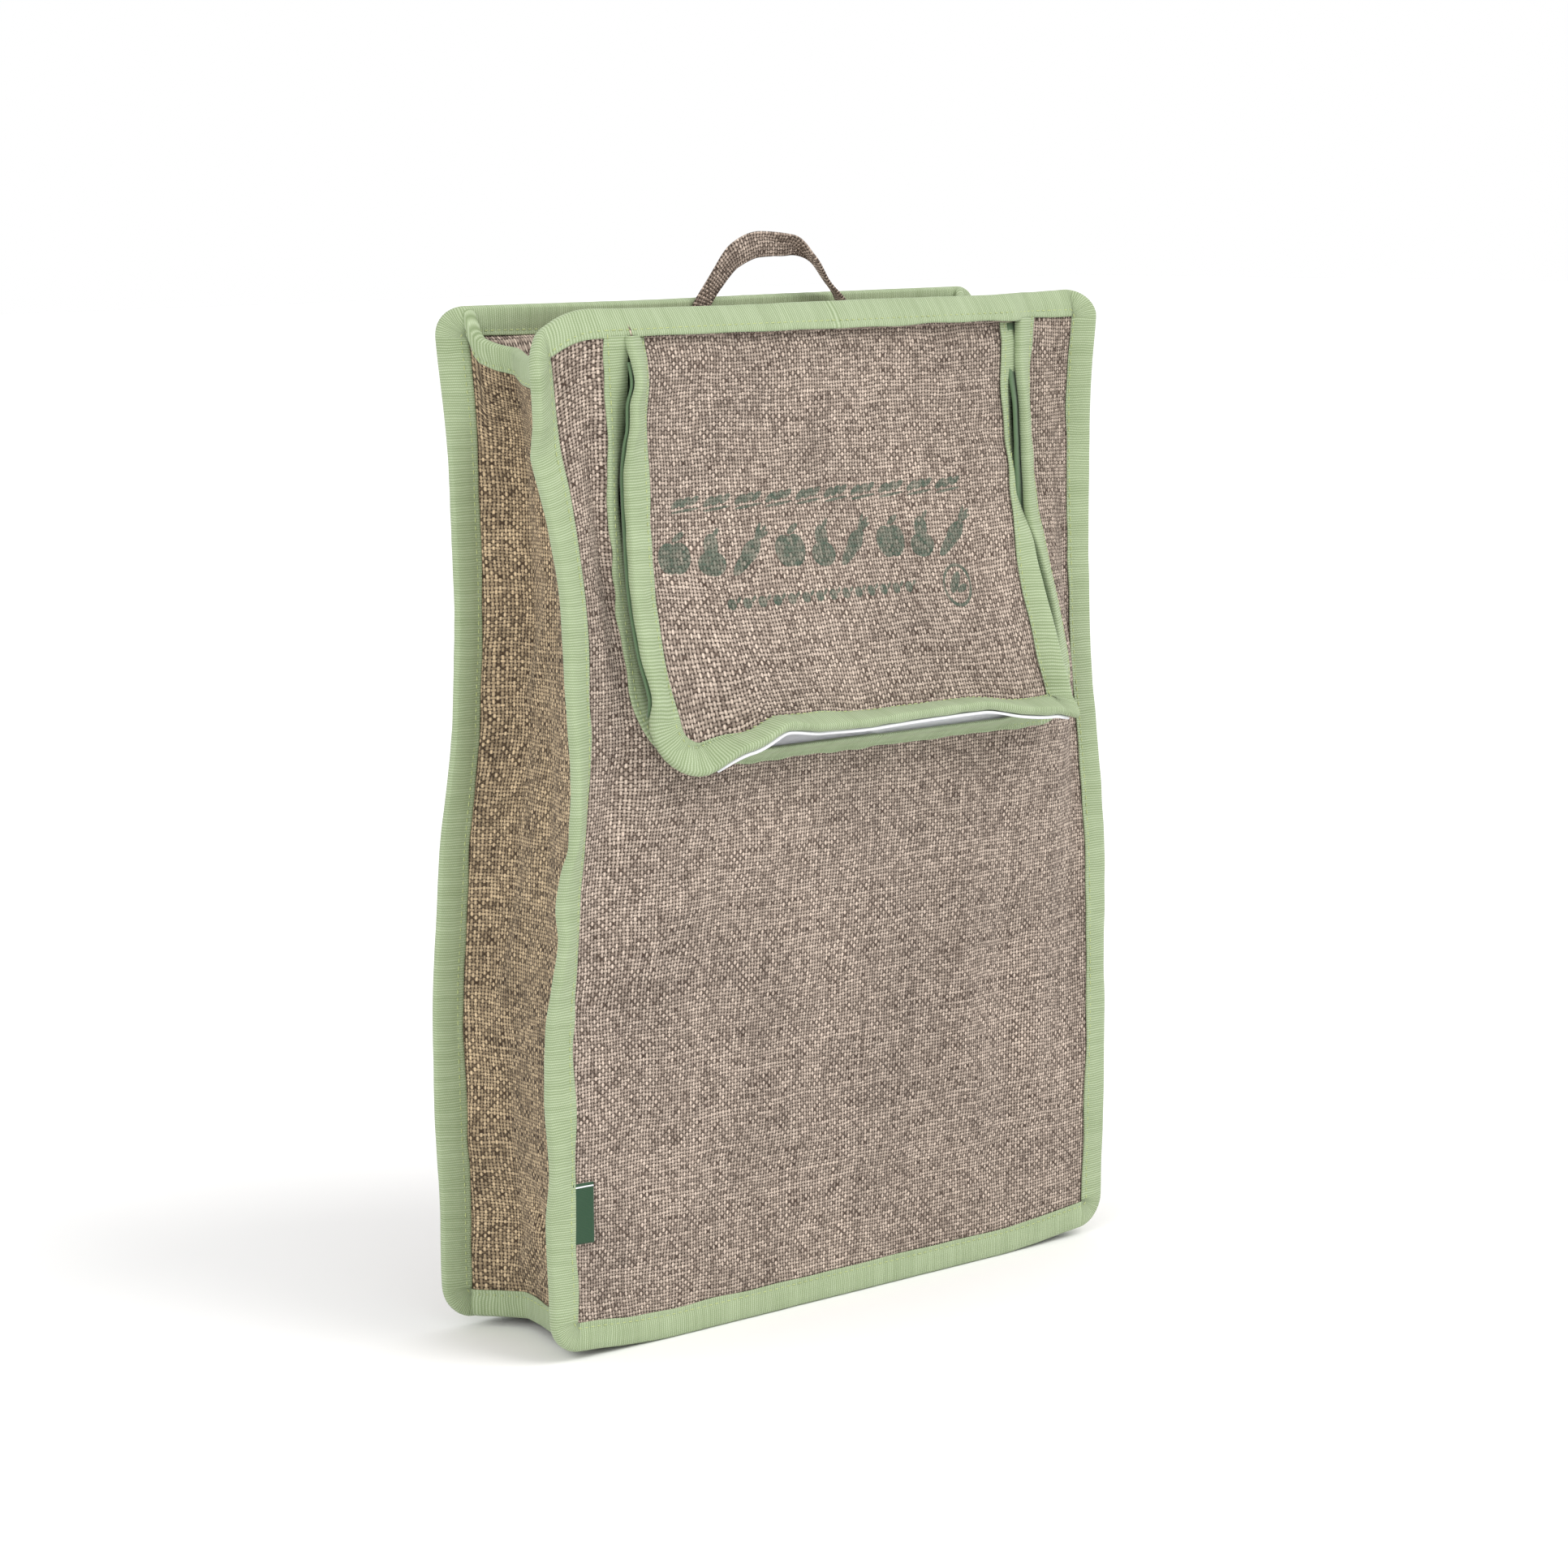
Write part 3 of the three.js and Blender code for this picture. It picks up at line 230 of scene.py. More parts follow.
# Where the opening's tape and the flap's tape roll forward beside the slots
OPENING_TURN = dict(
    at=(225, 235, 250, 264, 287, 303, 314, 319, 335, 340, 349, 352, 366, 379, 384, 401),
    left=(0, -6, -18, -28, -39, -38, -38, -38, -42, -43, -38, -34, -20, -8, -3, 8),
    right=(0, 3, 5, 13, 22, 20, 14, 12, 21, 23, 26, 27, 28, 22, 19, 14),
)
FLAP_TURN = dict(
    at=(250, 261, 271, 284, 298, 313, 329, 345, 361, 368, 376, 384, 392, 401),
    left=(-10, -8, 25, 19, 14, 11, 9, 5, 21, 30, 29, 36, 31, 22),
    right=(40, 40, 34, 26, 16, -6, -30, -31, -29, -27, -22, -13, -13, -15),
)
# Hanging loop, foot to foot: shares of its span, rise and strap width, and twist in degrees
LOOP_LINE = dict(
    at=(0.0, 0.06, 0.14, 0.26, 0.4, 0.55, 0.66, 0.8, 0.9, 1.0),
    along=(0.0, 0.03, 0.09, 0.2, 0.37, 0.57, 0.7, 0.83, 0.93, 1.0),
    up=(0.0, 0.34, 0.62, 0.9, 1.02, 1.0, 0.84, 0.5, 0.26, 0.0),
    forward=(0.0, 0.0, 0.1, 0.25, 0.38, 0.48, 0.55, 0.6, 0.6, 0.6),
    twist=(0, 4, 14, 22, 30, 48, 92, 112, 104, 90),
)
# Soft folds of the front: centre, turn in degrees, half width, half length and depth in millimetres
FRONT_FOLDS = (
    dict(x=-124, z=318, turn=2, wide=6, long=58, deep=5.5),
    dict(x=-126, z=226, turn=-6, wide=6, long=34, deep=3.0),
    dict(x=118, z=330, turn=2, wide=7, long=60, deep=2.2),
    dict(x=62, z=128, turn=5, wide=11, long=70, deep=-1.6),
    dict(x=88, z=116, turn=4, wide=9, long=84, deep=1.8),
    dict(x=112, z=150, turn=-3, wide=8, long=70, deep=-1.4),
    dict(x=-72, z=206, turn=-58, wide=9, long=42, deep=1.6),
    dict(x=-96, z=176, turn=-48, wide=8, long=30, deep=-1.2),
    dict(x=-30, z=74, turn=74, wide=13, long=70, deep=-1.0),
    dict(x=40, z=46, turn=82, wide=9, long=64, deep=0.9),
    dict(x=-108, z=96, turn=10, wide=10, long=46, deep=1.2),
)
# Soft folds of the flap, in the same columns
FLAP_FOLDS = (
    dict(x=60, z=374, turn=62, wide=8, long=26, deep=-1.6),
    dict(x=78, z=360, turn=58, wide=6, long=24, deep=1.5),
    dict(x=-60, z=372, turn=-52, wide=9, long=28, deep=-1.2),
    dict(x=0, z=300, turn=88, wide=16, long=80, deep=-1.0),
    dict(x=30, z=268, turn=80, wide=9, long=50, deep=1.0),
)
# Soft folds of the side gussets: depth and height of the centre, and the same columns
GUSSET_FOLDS = (
    dict(x=4, z=330, turn=8, wide=5, long=40, deep=3.2),
    dict(x=-6, z=276, turn=-20, wide=5, long=26, deep=-2.8),
    dict(x=6, z=214, turn=6, wide=6, long=44, deep=2.6),
    dict(x=-12, z=150, turn=-10, wide=5, long=34, deep=-2.4),
    dict(x=10, z=44, turn=36, wide=5, long=22, deep=3.4),
    dict(x=-8, z=30, turn=-34, wide=5, long=20, deep=-2.8),
)
# Stretches over which each effect grows, from none to all of it, in shares of the height or half width
STRETCHES = dict(
    wall=(0.6, 0.9), lean=(0.3, -1), corner_up=(0.7, 0.97), corner_side=(-0.76, -1), sag_up=(0.84, 1),
    sag_across=(0.5, 0.9), foot=(0.17, 0.04), calm_low=(0, 0.06), calm_high=(1.0, 0.93), back_edge=(1, 0.9),
    flap_loose=(0.62, 0), flap_rise=(0.4, 0), flap_left=(0.5, 0), flap_right=(0.5, 1), flap_free=(1.0, 0.8),
)
# Gentle unevenness of the cloth: depth and wave length in millimetres, and the seed of its waves
RIPPLES = dict(front=(0.45, 62, 3), back=(1.3, 88, 5), side=(0.5, 55, 7))
RIPPLE_WAVES = 6
RIPPLE_SPREAD = 3.2
# Unevenness of a tape's edge and of its pillow: depth, circle that a closed tape runs round, and wave lengths
WANDER = dict(deep=0.4, circle=70, closed=9, open=22)
PUFF = dict(deep=0.16, circle=90, closed=7, open=13)
# Outside of a folded tape: distance from its free edge and dip, then share of its width and rise
TAPE_EDGE = ((0.0, 0.45), (0.5, 0.18), (1.2, 0.3), (2.2, 0.35), (3.4, 0.05))
TAPE_CROWN = ((0.55, 0.12), (0.32, 0.05))
TAPE_CORE = 0.62
FOLD_DEPTH = 0.75
FOLD_HEADINGS = (18, 36, 54, 72, 90)


def seam_shift():
    """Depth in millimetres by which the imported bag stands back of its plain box, from the front rim."""
    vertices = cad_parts["front_rim_binding"].data.vertices
    base = [v.co.y for v in vertices if v.co.z < 1e-6]
    return (min(base) + max(base)) / (2 * MM) + RIM_Y


SHIFT = np.array([0.0, seam_shift(), 0.0])


def climb(low, high, value):
    """Even climb from 0 at low to 1 at high."""
    return np.clip((value - low) / (high - low), 0.0, 1.0)


def ramp(low, high, value):
    """Climb with soft ends."""
    t = climb(low, high, value)
    return t * t * (3 - 2 * t)


def grown(stretch, value):
    """Soft climb over one of the named stretches."""
    return ramp(*STRETCHES[stretch], value)


def look_up(table, column, value):
    """Value of a table's column on a smooth curve that never overshoots its rows."""
    keys, values = np.array(table["at"], float), np.array(table[column], float)
    slopes = np.diff(values) / np.diff(keys)
    product = slopes[:-1] * slopes[1:]
    mean = np.divide(2 * product, slopes[:-1] + slopes[1:], out=np.zeros_like(product), where=product > 0)
    tangents = np.concatenate([slopes[:1], mean, slopes[-1:]])
    value = np.clip(value, keys[0], keys[-1])
    row = np.clip(np.searchsorted(keys, value) - 1, 0, len(slopes) - 1)
    span = keys[row + 1] - keys[row]
    t = (value - keys[row]) / span
    start, end = tangents[row] * span, tangents[row + 1] * span
    rise = values[row + 1] - values[row]
    return values[row] + t * start + t**2 * (3 * rise - 2 * start - end) + t**3 * (start + end - 2 * rise)


def folds(table, x, z):
    """Sum of a table's soft folds at places given by two coordinates."""
    total = np.zeros_like(x)
    for row in table:
        turn = math.radians(row["turn"])
        across = (x - row["x"]) * math.cos(turn) + (z - row["z"]) * math.sin(turn)
        along = (z - row["z"]) * math.cos(turn) - (x - row["x"]) * math.sin(turn)
        total += row["deep"] * np.exp(-((across / row["wide"]) ** 2) - (along / row["long"]) ** 2)
    return total


def ripple(a, b, scale, seed):
    """Smooth unevenness between about -1 and 1 over two coordinates."""
    dice = np.random.default_rng(seed)
    total = np.zeros_like(a, dtype=float)
    for _ in range(RIPPLE_WAVES):
        heading, phase, size = dice.uniform(0, TAU), dice.uniform(0, TAU), dice.uniform(0.6, 1.6)
        total += np.sin((a * math.cos(heading) + b * math.sin(heading)) * TAU / (scale * size) + phase)
    return total / RIPPLE_SPREAD


def rippled(name, a, b):
    """One of the cloth's named ripples, in millimetres."""
    deep, scale, seed = RIPPLES[name]
    return deep * ripple(a, b, scale, seed)


def tent(y):
    """Rises from 0 at both edges of the gusset to 1 along its fold, with a soft crest."""
    share = np.clip((y + SEAM_Y) / (2 * SEAM_Y), 0, 1)
    crest = np.where(share < FOLD_AT, share / FOLD_AT, (1 - share) / (1 - FOLD_AT))
    return np.sin(crest * math.pi / 2) * CREST_SOFTNESS + crest * (1 - CREST_SOFTNESS)


def rolled(reach, proud, turn):
    """How far a point of a flange draws in and comes forward as the flange rolls about its seam.

    reach is its distance from the seam, proud its place in front of the flange's middle, turn in radians.
    """
    bend = turn * ramp(0, ROLL_BEND, reach)
    run = np.maximum(reach - ROLL_BEND / 2, 0) * TAPE_WIDTH / (TAPE_WIDTH - ROLL_BEND / 2)
    return run * (1 - np.cos(turn)) + proud * np.sin(bend), run * np.sin(turn) - proud * (1 - np.cos(bend))


def flange_turn(x, y, z):
    """Displacement of the seams' free flanges, which roll forward or backward about their stitch line."""
    moved = np.zeros((len(x), 3))
    near_front = ramp(-SEAM_Y + SEAM_EASE, -SEAM_Y, y)
    near_back = ramp(SEAM_Y - SEAM_EASE, SEAM_Y, y)
    proud = np.where(y < 0, -RIM_Y, RIM_Y) - y
    for side, front, back in ((-1, LEFT_FRONT_TURN, LEFT_BACK_TURN), (1, RIGHT_FRONT_TURN, RIGHT_BACK_TURN)):
        out = np.maximum(side * x - RIM_SEAM_X, 0)
        turn = np.radians(near_front * look_up(front, "turn", z) + near_back * look_up(back, "turn", z))
        draw, forward = rolled(out, proud, turn)
        moved[:, 0] -= side * draw
        moved[:, 1] -= forward
    out = np.maximum(z - RIM_SEAM_Z, 0)
    turn = np.radians(near_front * look_up(TOP_TURN, "front", x) + near_back * look_up(TOP_TURN, "back", x))
    draw, forward = rolled(out, proud, turn)
    moved[:, 2] -= draw
    moved[:, 1] -= forward
    return moved


def opening_turn(x, y, z):
    """Displacement of the opening's taped edge, which rolls out of the panel beside the flap."""
    moved = np.zeros((len(x), 3))
    near = (y < -SEAM_Y + SEAM_EASE) * ramp(OPENING_BOTTOM - TAPE_WIDTH, OPENING_BOTTOM + LIP_EASE, z)
    seams = (("left", 1, OPENING_LEFT - TAPE_WIDTH), ("right", -1, OPENING_RIGHT + TAPE_WIDTH))
    for column, inward, seam in seams:
        reach = np.clip((x - seam) * inward, 0, TAPE_WIDTH + STRIP_SHOWN) * (np.sign(x) == -inward)
        turn = np.radians(look_up(OPENING_TURN, column, z)) * near
        draw, forward = rolled(reach, -PANEL_Y - y, turn)
        moved[:, 0] -= inward * draw
        moved[:, 1] -= forward
    return moved


def drape(points, loose=False):
    """Moves points of the plain box, in millimetres, to where the cloth lies."""
    x, y, z = points.T
    place, side = x / HALF_WIDTH, np.sign(x)
    up, across = z / BAG_HEIGHT, np.abs(x) / HALF_WIDTH
    frontward = ramp(SEAM_Y / 3, -SEAM_Y, y)
    backward = ramp(-SEAM_Y / 3, SEAM_Y, y)
    moved = points + flange_turn(x, y, z)
    if not loose:
        moved += opening_turn(x, y, z)

    moved[:, 0] -= side * across * WAIST_PINCH * look_up(WAIST, "pinch", up)
    spread = look_up(BELLY_ACROSS, "out", np.abs(x) / SIDE_X)
    moved[:, 1] -= BELLY * look_up(BELLY_UP, "out", up) * spread * frontward
    apart = np.where(x < 0, look_up(MOUTH_UP, "left", up), look_up(MOUTH_UP, "right", up))
    moved[:, 0] += MOUTH_SPREAD * apart * look_up(MOUTH_ACROSS, "spread", place) * frontward
    push = look_up(MOUTH_UP, "push", up) * look_up(MOUTH_ACROSS, "push", place)
    moved[:, 1] -= MOUTH_PUSH * push * frontward
    lip = look_up(MOUTH_UP, "lip", up) * look_up(MOUTH_ACROSS, "lip", place) * frontward
    moved[:, 1] -= MOUTH_LIP * lip
    moved[:, 2] -= MOUTH_DROP * lip
    hollow = np.sin(math.pi * up) * (1 - np.minimum(across, 1) ** 2) * grown("back_edge", across)
    moved[:, 1] += BACK_BELLY * hollow * backward

    inward = GUSSET_FOLD * look_up(FOLD_UP, "deep", up) * tent(y)
    inward += folds(GUSSET_FOLDS, y * side, z) * ramp(SEAM_Y, SEAM_Y - FOLD_EASE, np.abs(y))
    moved[:, 0] -= side * inward * grown("wall", across)
    moved[:, 1] -= BACK_LEAN * look_up(LEAN_UP, "lean", up) * backward * grown("lean", place)

    corner = grown("corner_up", up) * ramp(SEAM_Y, -SEAM_Y, y)
    moved[:, 2] -= CORNER_DROOP * corner * grown("corner_side", place) ** 2
    moved[:, 1] += CORNER_SET_BACK * corner * climb(OPENING_LEFT - TAPE_WIDTH, -CORNER_X, x)
    deep = np.clip(y / SEAM_Y, -1, 1)
    sag = np.where(x < 0, look_up(SAG_DEPTH, "left", deep), look_up(SAG_DEPTH, "right", deep))
    moved[:, 2] -= sag * grown("sag_up", up) * grown("sag_across", across)
    moved[:, 2] += CORNER_LIFT * look_up(LIFT_ACROSS, "lift", across) * grown("foot", up)

    calm = grown("calm_low", up) * grown("calm_high", up)
    soft = rippled("front", x, z)
    if not loose:
        soft += folds(FRONT_FOLDS, x, z)
    moved[:, 1] += soft * frontward * calm
    moved[:, 1] += rippled("back", x, z) * backward * calm
    moved[:, 0] += rippled("side", y, z) * across * calm
    return moved


def drape_flap(points):
    """Moves points of the plain flap to where it hangs, loose of the bag."""
    x, y, z = points.T
    left, right, bottom, _ = FLAP_BOX
    proud = flap_depth(z) - y
    across = (x - left) / (right - left)
    up = (z - bottom) / (HANG_TOP - bottom)
    loose = grown("flap_loose", up)
    moved = drape(points, loose=True)
    moved[:, 1] -= FLAP_LIFT * look_up(FLAP_EDGE, "lift", across) * loose
    moved[:, 0] += FLAP_SHIFT * look_up(FLAP_EDGE, "shift", across) * loose**2
    moved[:, 2] += FLAP_SHIFT * look_up(FLAP_EDGE, "rise", across) * loose**2 * grown("flap_rise", up)
    draw = look_up(FLAP_SIDES, "left", up) * grown("flap_left", across)
    draw -= look_up(FLAP_SIDES, "right", up) * grown("flap_right", across)
    moved[:, 0] += FLAP_GAPE * draw
    moved[:, 1] += (folds(FLAP_FOLDS, x, z) - FLAP_SETTLE) * grown("flap_free", up)
    seams = (("left", -1, left + FLAP_TAPE_WIDTH), ("right", 1, right - FLAP_TAPE_WIDTH))
    for column, out, edge in seams:
        reach = np.maximum((x - edge) * out, 0)
        turn = np.radians(look_up(FLAP_TURN, column, z))
        draw, forward = rolled(reach, proud, turn)
        moved[:, 0] -= out * draw
        moved[:, 1] -= forward
    reach = np.maximum(bottom + FLAP_TAPE_WIDTH - z, 0)
    draw, forward = rolled(reach, proud, np.radians(look_up(FLAP_EDGE, "roll", across)))
    moved[:, 2] += draw
    moved[:, 1] -= forward
    return moved


def flap_depth(z):
    """Depth of the flap's middle: in the panel's plane at the top seam, then a step in front of it."""
    return -PANEL_Y - FLAP_PROUD * (1 - ramp(HANG_TOP - STEP_LENGTH, HANG_TOP, z))


def steps(low, high, size):
    """Even places from low to high, about size apart."""
    return np.linspace(low, high, max(2, int(round((high - low) / size)) + 1))


def new_piece(name, points, faces, uvs, material):
    """Mesh object from points in millimetres, with a cloth map given for each corner in metres."""
    mesh = bpy.data.meshes.new(name)
    mesh.from_pydata(((points + SHIFT) * MM).tolist(), [], faces)
    layer = mesh.uv_layers.new(name="cloth")
    order = np.array([c for face in uvs for c in face], float) * MM
    layer.data.foreach_set("uv", order.ravel())
    mesh.polygons.foreach_set("use_smooth", [True] * len(mesh.polygons))
    mesh.materials.append(material)
    mesh.update()
    piece = bpy.data.objects.new(name, mesh)
    bpy.context.scene.collection.objects.link(piece)
    return piece


def halfway(places, k):
    """Middle between a place and the next one."""
    return (places[k] + places[k + 1]) / 2


def cloth_grid(name, us, vs, place, move, material, keep=None, flip=False, thickness=CLOTH, maps=None):
    """Sheet of cloth over two lists of places.

    place gives its plain middle, keep says which cells are cloth, and maps gives the weave's coordinates.
    """
    u, v = np.meshgrid(us, vs, indexing="ij")
    points = move(place(u.ravel(), v.ravel()))
    rows = len(vs)
    cells = [(i, j) for i in range(len(us) - 1) for j in range(rows - 1)]
    if keep is not None:
        cells = [(i, j) for i, j in cells if keep(halfway(us, i), halfway(vs, j))]
    maps = maps or (lambda a, b: (a, b))
    faces, uvs = [], []
    for i, j in cells:
        corners = [(i, j), (i + 1, j), (i + 1, j + 1), (i, j + 1)]
        corners = corners[::-1] if flip else corners
        faces.append([a * rows + b for a, b in corners])
        uvs.append([maps(us[a], vs[b]) for a, b in corners])
    used = np.unique(np.array(faces))
    renumber = {int(old): new for new, old in enumerate(used)}
    faces = [[renumber[k] for k in face] for face in faces]
    piece = new_piece(name, points[used], faces, uvs, material)
    solid = piece.modifiers.new("thickness", "SOLIDIFY")
    solid.thickness = thickness * MM
    solid.offset = 0.0
    solid.use_even_offset = False
    return piece


def outside_round(x, z, box, radii):
    """True outside a box with round corners: low left, low right, high left and high right."""
    left, right, low, high = box
    if x < left or x > right or z < low or z > high:
        return True
    for radius, h, v in zip(radii, (-1, 1, -1, 1), (-1, -1, 1, 1)):
        cx = left + radius if h < 0 else right - radius
        cz = low + radius if v < 0 else high - radius
        if (x - cx) * h > 0 and (z - cz) * v > 0 and math.hypot(x - cx, z - cz) > radius:
            return True
    return False


def corner_arc(cx, cz, radius, start, end, inward, parts=9):
    """Points round a corner of a fold line between two headings in degrees, ends left out."""
    turns = np.radians(np.linspace(start, end, parts + 2)[1:-1])
    headings = [(math.cos(a), math.sin(a)) for a in turns]
    return [(cx + radius * x, cz + radius * z, -inward * x, -inward * z) for x, z in headings]


def rim_path(size):
    """Fold line round a panel, as a closed loop of x, z and the direction into the panel."""
    left, right, low, high = -CORNER_X, CORNER_X, RIM_RADIUS, BAG_HEIGHT - RIM_RADIUS
    xs, zs = steps(left, right, size), steps(low, high, size)
    path = [(x, 0.0, 0.0, 1.0) for x in xs]
    path += corner_arc(right, low, RIM_RADIUS, -90, 0, 1)
    path += [(HALF_WIDTH, z, -1.0, 0.0) for z in zs]
    path += corner_arc(right, high, RIM_RADIUS, 0, 90, 1)
    path += [(x, BAG_HEIGHT, 0.0, -1.0) for x in xs[::-1]]
    path += corner_arc(left, high, RIM_RADIUS, 90, 180, 1)
    path += [(-HALF_WIDTH, z, 1.0, 0.0) for z in zs[::-1]]
    path += corner_arc(left, low, RIM_RADIUS, 180, 270, 1)
    return np.array(path)


def hanging_path(box, radius_left, radius_right, inward, size):
    """Fold line down the left, along the lower and up the right edge of a box."""
    left, right, bottom, _ = box
    path = [(left, z, inward, 0.0) for z in steps(bottom + radius_left, TAPE_TOP, size)[::-1]]
    path += corner_arc(left + radius_left, bottom + radius_left, radius_left, 180, 270, inward)
    path += [(x, bottom, 0.0, inward) for x in steps(left + radius_left, right - radius_right, size)]
    path += corner_arc(right - radius_right, bottom + radius_right, radius_right, -90, 0, inward)
    path += [(right, z, -inward, 0.0) for z in steps(bottom + radius_right, TAPE_TOP, size)]
    return np.array(path, float)


def tape_section(width, slot):
    """Closed section of a folded tape by reach from its fold and side of the cloth, soft at its edges.

    Its outside comes first, and the second value is the number of points there.
    """
    half, wall = slot / 2 + TAPE, TAPE * TAPE_CORE
    outer = [(width - back, half - dip) for back, dip in TAPE_EDGE]
    outer += [(width * share, half + rise) for share, rise in TAPE_CROWN]
    turns = np.radians(FOLD_HEADINGS)
    outer += [(half * (1 - math.sin(a)) * FOLD_DEPTH, half * math.cos(a)) for a in turns]
    outer += [(r, -s) for r, s in outer[-2::-1]]
    inner = half - wall
    lining = [(width - 0.1, 0.35 - inner), (width * 0.5, -inner)]
    lining += [(half * 0.9, -inner * 0.8), (wall + 0.4, 0.0)]
    lining += [(r, -s) for r, s in lining[2::-1]]
    return np.array(outer + lining), len(outer)


def run_lengths(points):
    """Distance along a line at each of its points."""
    return np.concatenate([[0], np.cumsum(np.linalg.norm(np.diff(points, axis=0), axis=1))])


def path_lengths(path, closed):
    """Distance along a fold line at each of its points, and at the end of its last part."""
    ends = np.vstack([path, path[:1]]) if closed else path
    return run_lengths(ends[:, :2])


def uneven(kind, along, rings, closed, seed):
    """Unevenness at each ring of a tape. A closed tape runs round a circle, so that its ends meet."""
    if closed:
        angle = along[:rings] / along[-1] * TAU
        a, b = np.cos(angle) * kind["circle"], np.sin(angle) * kind["circle"]
        return kind["deep"] * ripple(a, b, kind["closed"], seed)
    return kind["deep"] * ripple(along[:rings], along[:rings] * 0, kind["open"], seed)


def tube(name, points, along, around, material, closed=False):
    """Closed piece from rings of points. along and around are its map's coordinates in millimetres."""
    count = len(around) - 1
    rings = len(points) // count
    faces, uvs = [], []
    for r in range(rings if closed else rings - 1):
        here, there = r * count, (r + 1) % rings * count
        for k in range(count):
            following = (k + 1) % count
            faces.append([here + k, there + k, there + following, here + following])
            first, second = around[k], around[k + 1]
            uvs.append([(along[r], first), (along[r + 1], first), (along[r + 1], second), (along[r], second)])
    if not closed:
        for ring, order in ((0, 1), (rings - 1, -1)):
            faces.append([ring * count + k for k in range(count)][::order])
            uvs.append([(along[ring] + 0.5 * k, 0.0) for k in range(count)])
    piece = new_piece(name, points, faces, uvs, material)
    turn_faces_out(piece)
    return piece


def turn_faces_out(piece):
    """Turns a closed piece's faces outwards, with its end caps cut into triangles."""
    bm = bmesh.new()
    bm.from_mesh(piece.data)
    bmesh.ops.triangulate(bm, faces=[f for f in bm.faces if len(f.verts) > 4])
    bmesh.ops.recalc_face_normals(bm, faces=bm.faces)
    bm.to_mesh(piece.data)
    bm.free()


def tape_piece(name, path, width, slot, place, move, material, closed=False, seed=1):
    """Folded tape along a path, with uneven edges and a soft pillow between its fold and its stitches."""
    section, outside = tape_section(width, slot)
    count, rings = len(section), len(path)
    along = path_lengths(path, closed)
    edge = uneven(WANDER, along, rings, closed, seed)
    puff = uneven(PUFF, along, rings, closed, seed + 1)
    reach = section[None, :, 0] + edge[:, None] * (section[None, :, 0] / width) ** 2
    swell = np.sign(section[:, 1]) * (np.arange(count) < outside)
    side = section[None, :, 1] + puff[:, None] * swell[None, :]
    points = move(place(np.repeat(path, count, axis=0), reach.ravel(), side.ravel()))
    return tube(name, points, along, run_lengths(np.vstack([section, section[:1]])), material, closed)


def upright(depth):
    """Place of a tape in a plane of constant depth, or of the depth that a function of height gives."""
    def place(path, reach, side):
        x, z, in_x, in_z = path.T
        level = depth(z) if callable(depth) else depth
        return np.column_stack([x + in_x * reach, level + side, z + in_z * reach])
    return place


def flat_at(depth):
    """Place of a sheet at a constant depth."""
    return lambda x, z: np.column_stack([x, np.full_like(x, depth), z])


# Shader nodes


def node(tree, kind, inputs=None, **settings):
    """Adds a node, sets its properties, and gives its inputs values or links."""
    made = tree.nodes.new(kind)
    for key, value in settings.items():
        setattr(made, key, value)
    for socket, value in (inputs or {}).items():
        if isinstance(value, bpy.types.NodeSocket):
            tree.links.new(value, made.inputs[socket])
        else:
            made.inputs[socket].default_value = value
    return made


def maths(tree, operation, *values, clamp=False):
    """Output of a Math node over values or sockets."""
    inputs = dict(enumerate(values))
    return node(tree, "ShaderNodeMath", inputs, operation=operation, use_clamp=clamp).outputs[0]


def blend(tree, factor, first, second):
    """Output of a colour mix of two colours or sockets."""
    return node(tree, "ShaderNodeMix", {0: factor, 6: first, 7: second}, data_type="RGBA").outputs[2]


def noise(tree, vector, scale, detail=2.0, dimensions="2D"):
    """Fac output of a noise over a vector."""
    inputs = {"Vector": vector, "Scale": scale, "Detail": detail, "Roughness": 0.55}
    return node(tree, "ShaderNodeTexNoise", inputs, noise_dimensions=dimensions).outputs[0]


def joined(tree, x, y):
    """Vector of two values."""
    return node(tree, "ShaderNodeCombineXYZ", {0: x, 1: y}).outputs[0]


def times(tree, first, second, clamp=False):
    return maths(tree, "MULTIPLY", first, second, clamp=clamp)


def plus(tree, first, second, clamp=False):
    return maths(tree, "ADD", first, second, clamp=clamp)


def minus(tree, first, second):
    return maths(tree, "SUBTRACT", first, second)


def fused(tree, value, factor, extra):
    """Value times a factor, plus an extra."""
    return maths(tree, "MULTIPLY_ADD", value, factor, extra)


def crest(tree, angle):
    """Even wave between 0 and 1 of an angle."""
    return fused(tree, maths(tree, "COSINE", angle), 0.5, 0.5)


def moved_by(tree, operation, first, second):
    """Output of a Vector Math node over two vectors."""
    return node(tree, "ShaderNodeVectorMath", {0: first, 1: second}, operation=operation).outputs[0]


def scaled_by(tree, vector, scale):
    """Vector times a value."""
    return node(tree, "ShaderNodeVectorMath", {0: vector, "Scale": scale}, operation="SCALE").outputs[0]


def parts_of(tree, vector):
    """The separate values of a vector."""
    return node(tree, "ShaderNodeSeparateXYZ", {0: vector}).outputs


def dice_of(tree, dimensions, key, value):
    """White noise of a value or a vector."""
    return node(tree, "ShaderNodeTexWhiteNoise", {key: value}, noise_dimensions=dimensions).outputs[0]


def of_group(tree, name, inputs):
    """Node of one of the script's own shader groups."""
    return node(tree, "ShaderNodeGroup", inputs, node_tree=bpy.data.node_groups[name])


def give(tree, leave, **outputs):
    """Links sockets to a group's outputs, by name with underscores for spaces."""
    for key, socket in outputs.items():
        tree.links.new(socket, leave.inputs[key.replace("_", " ")])


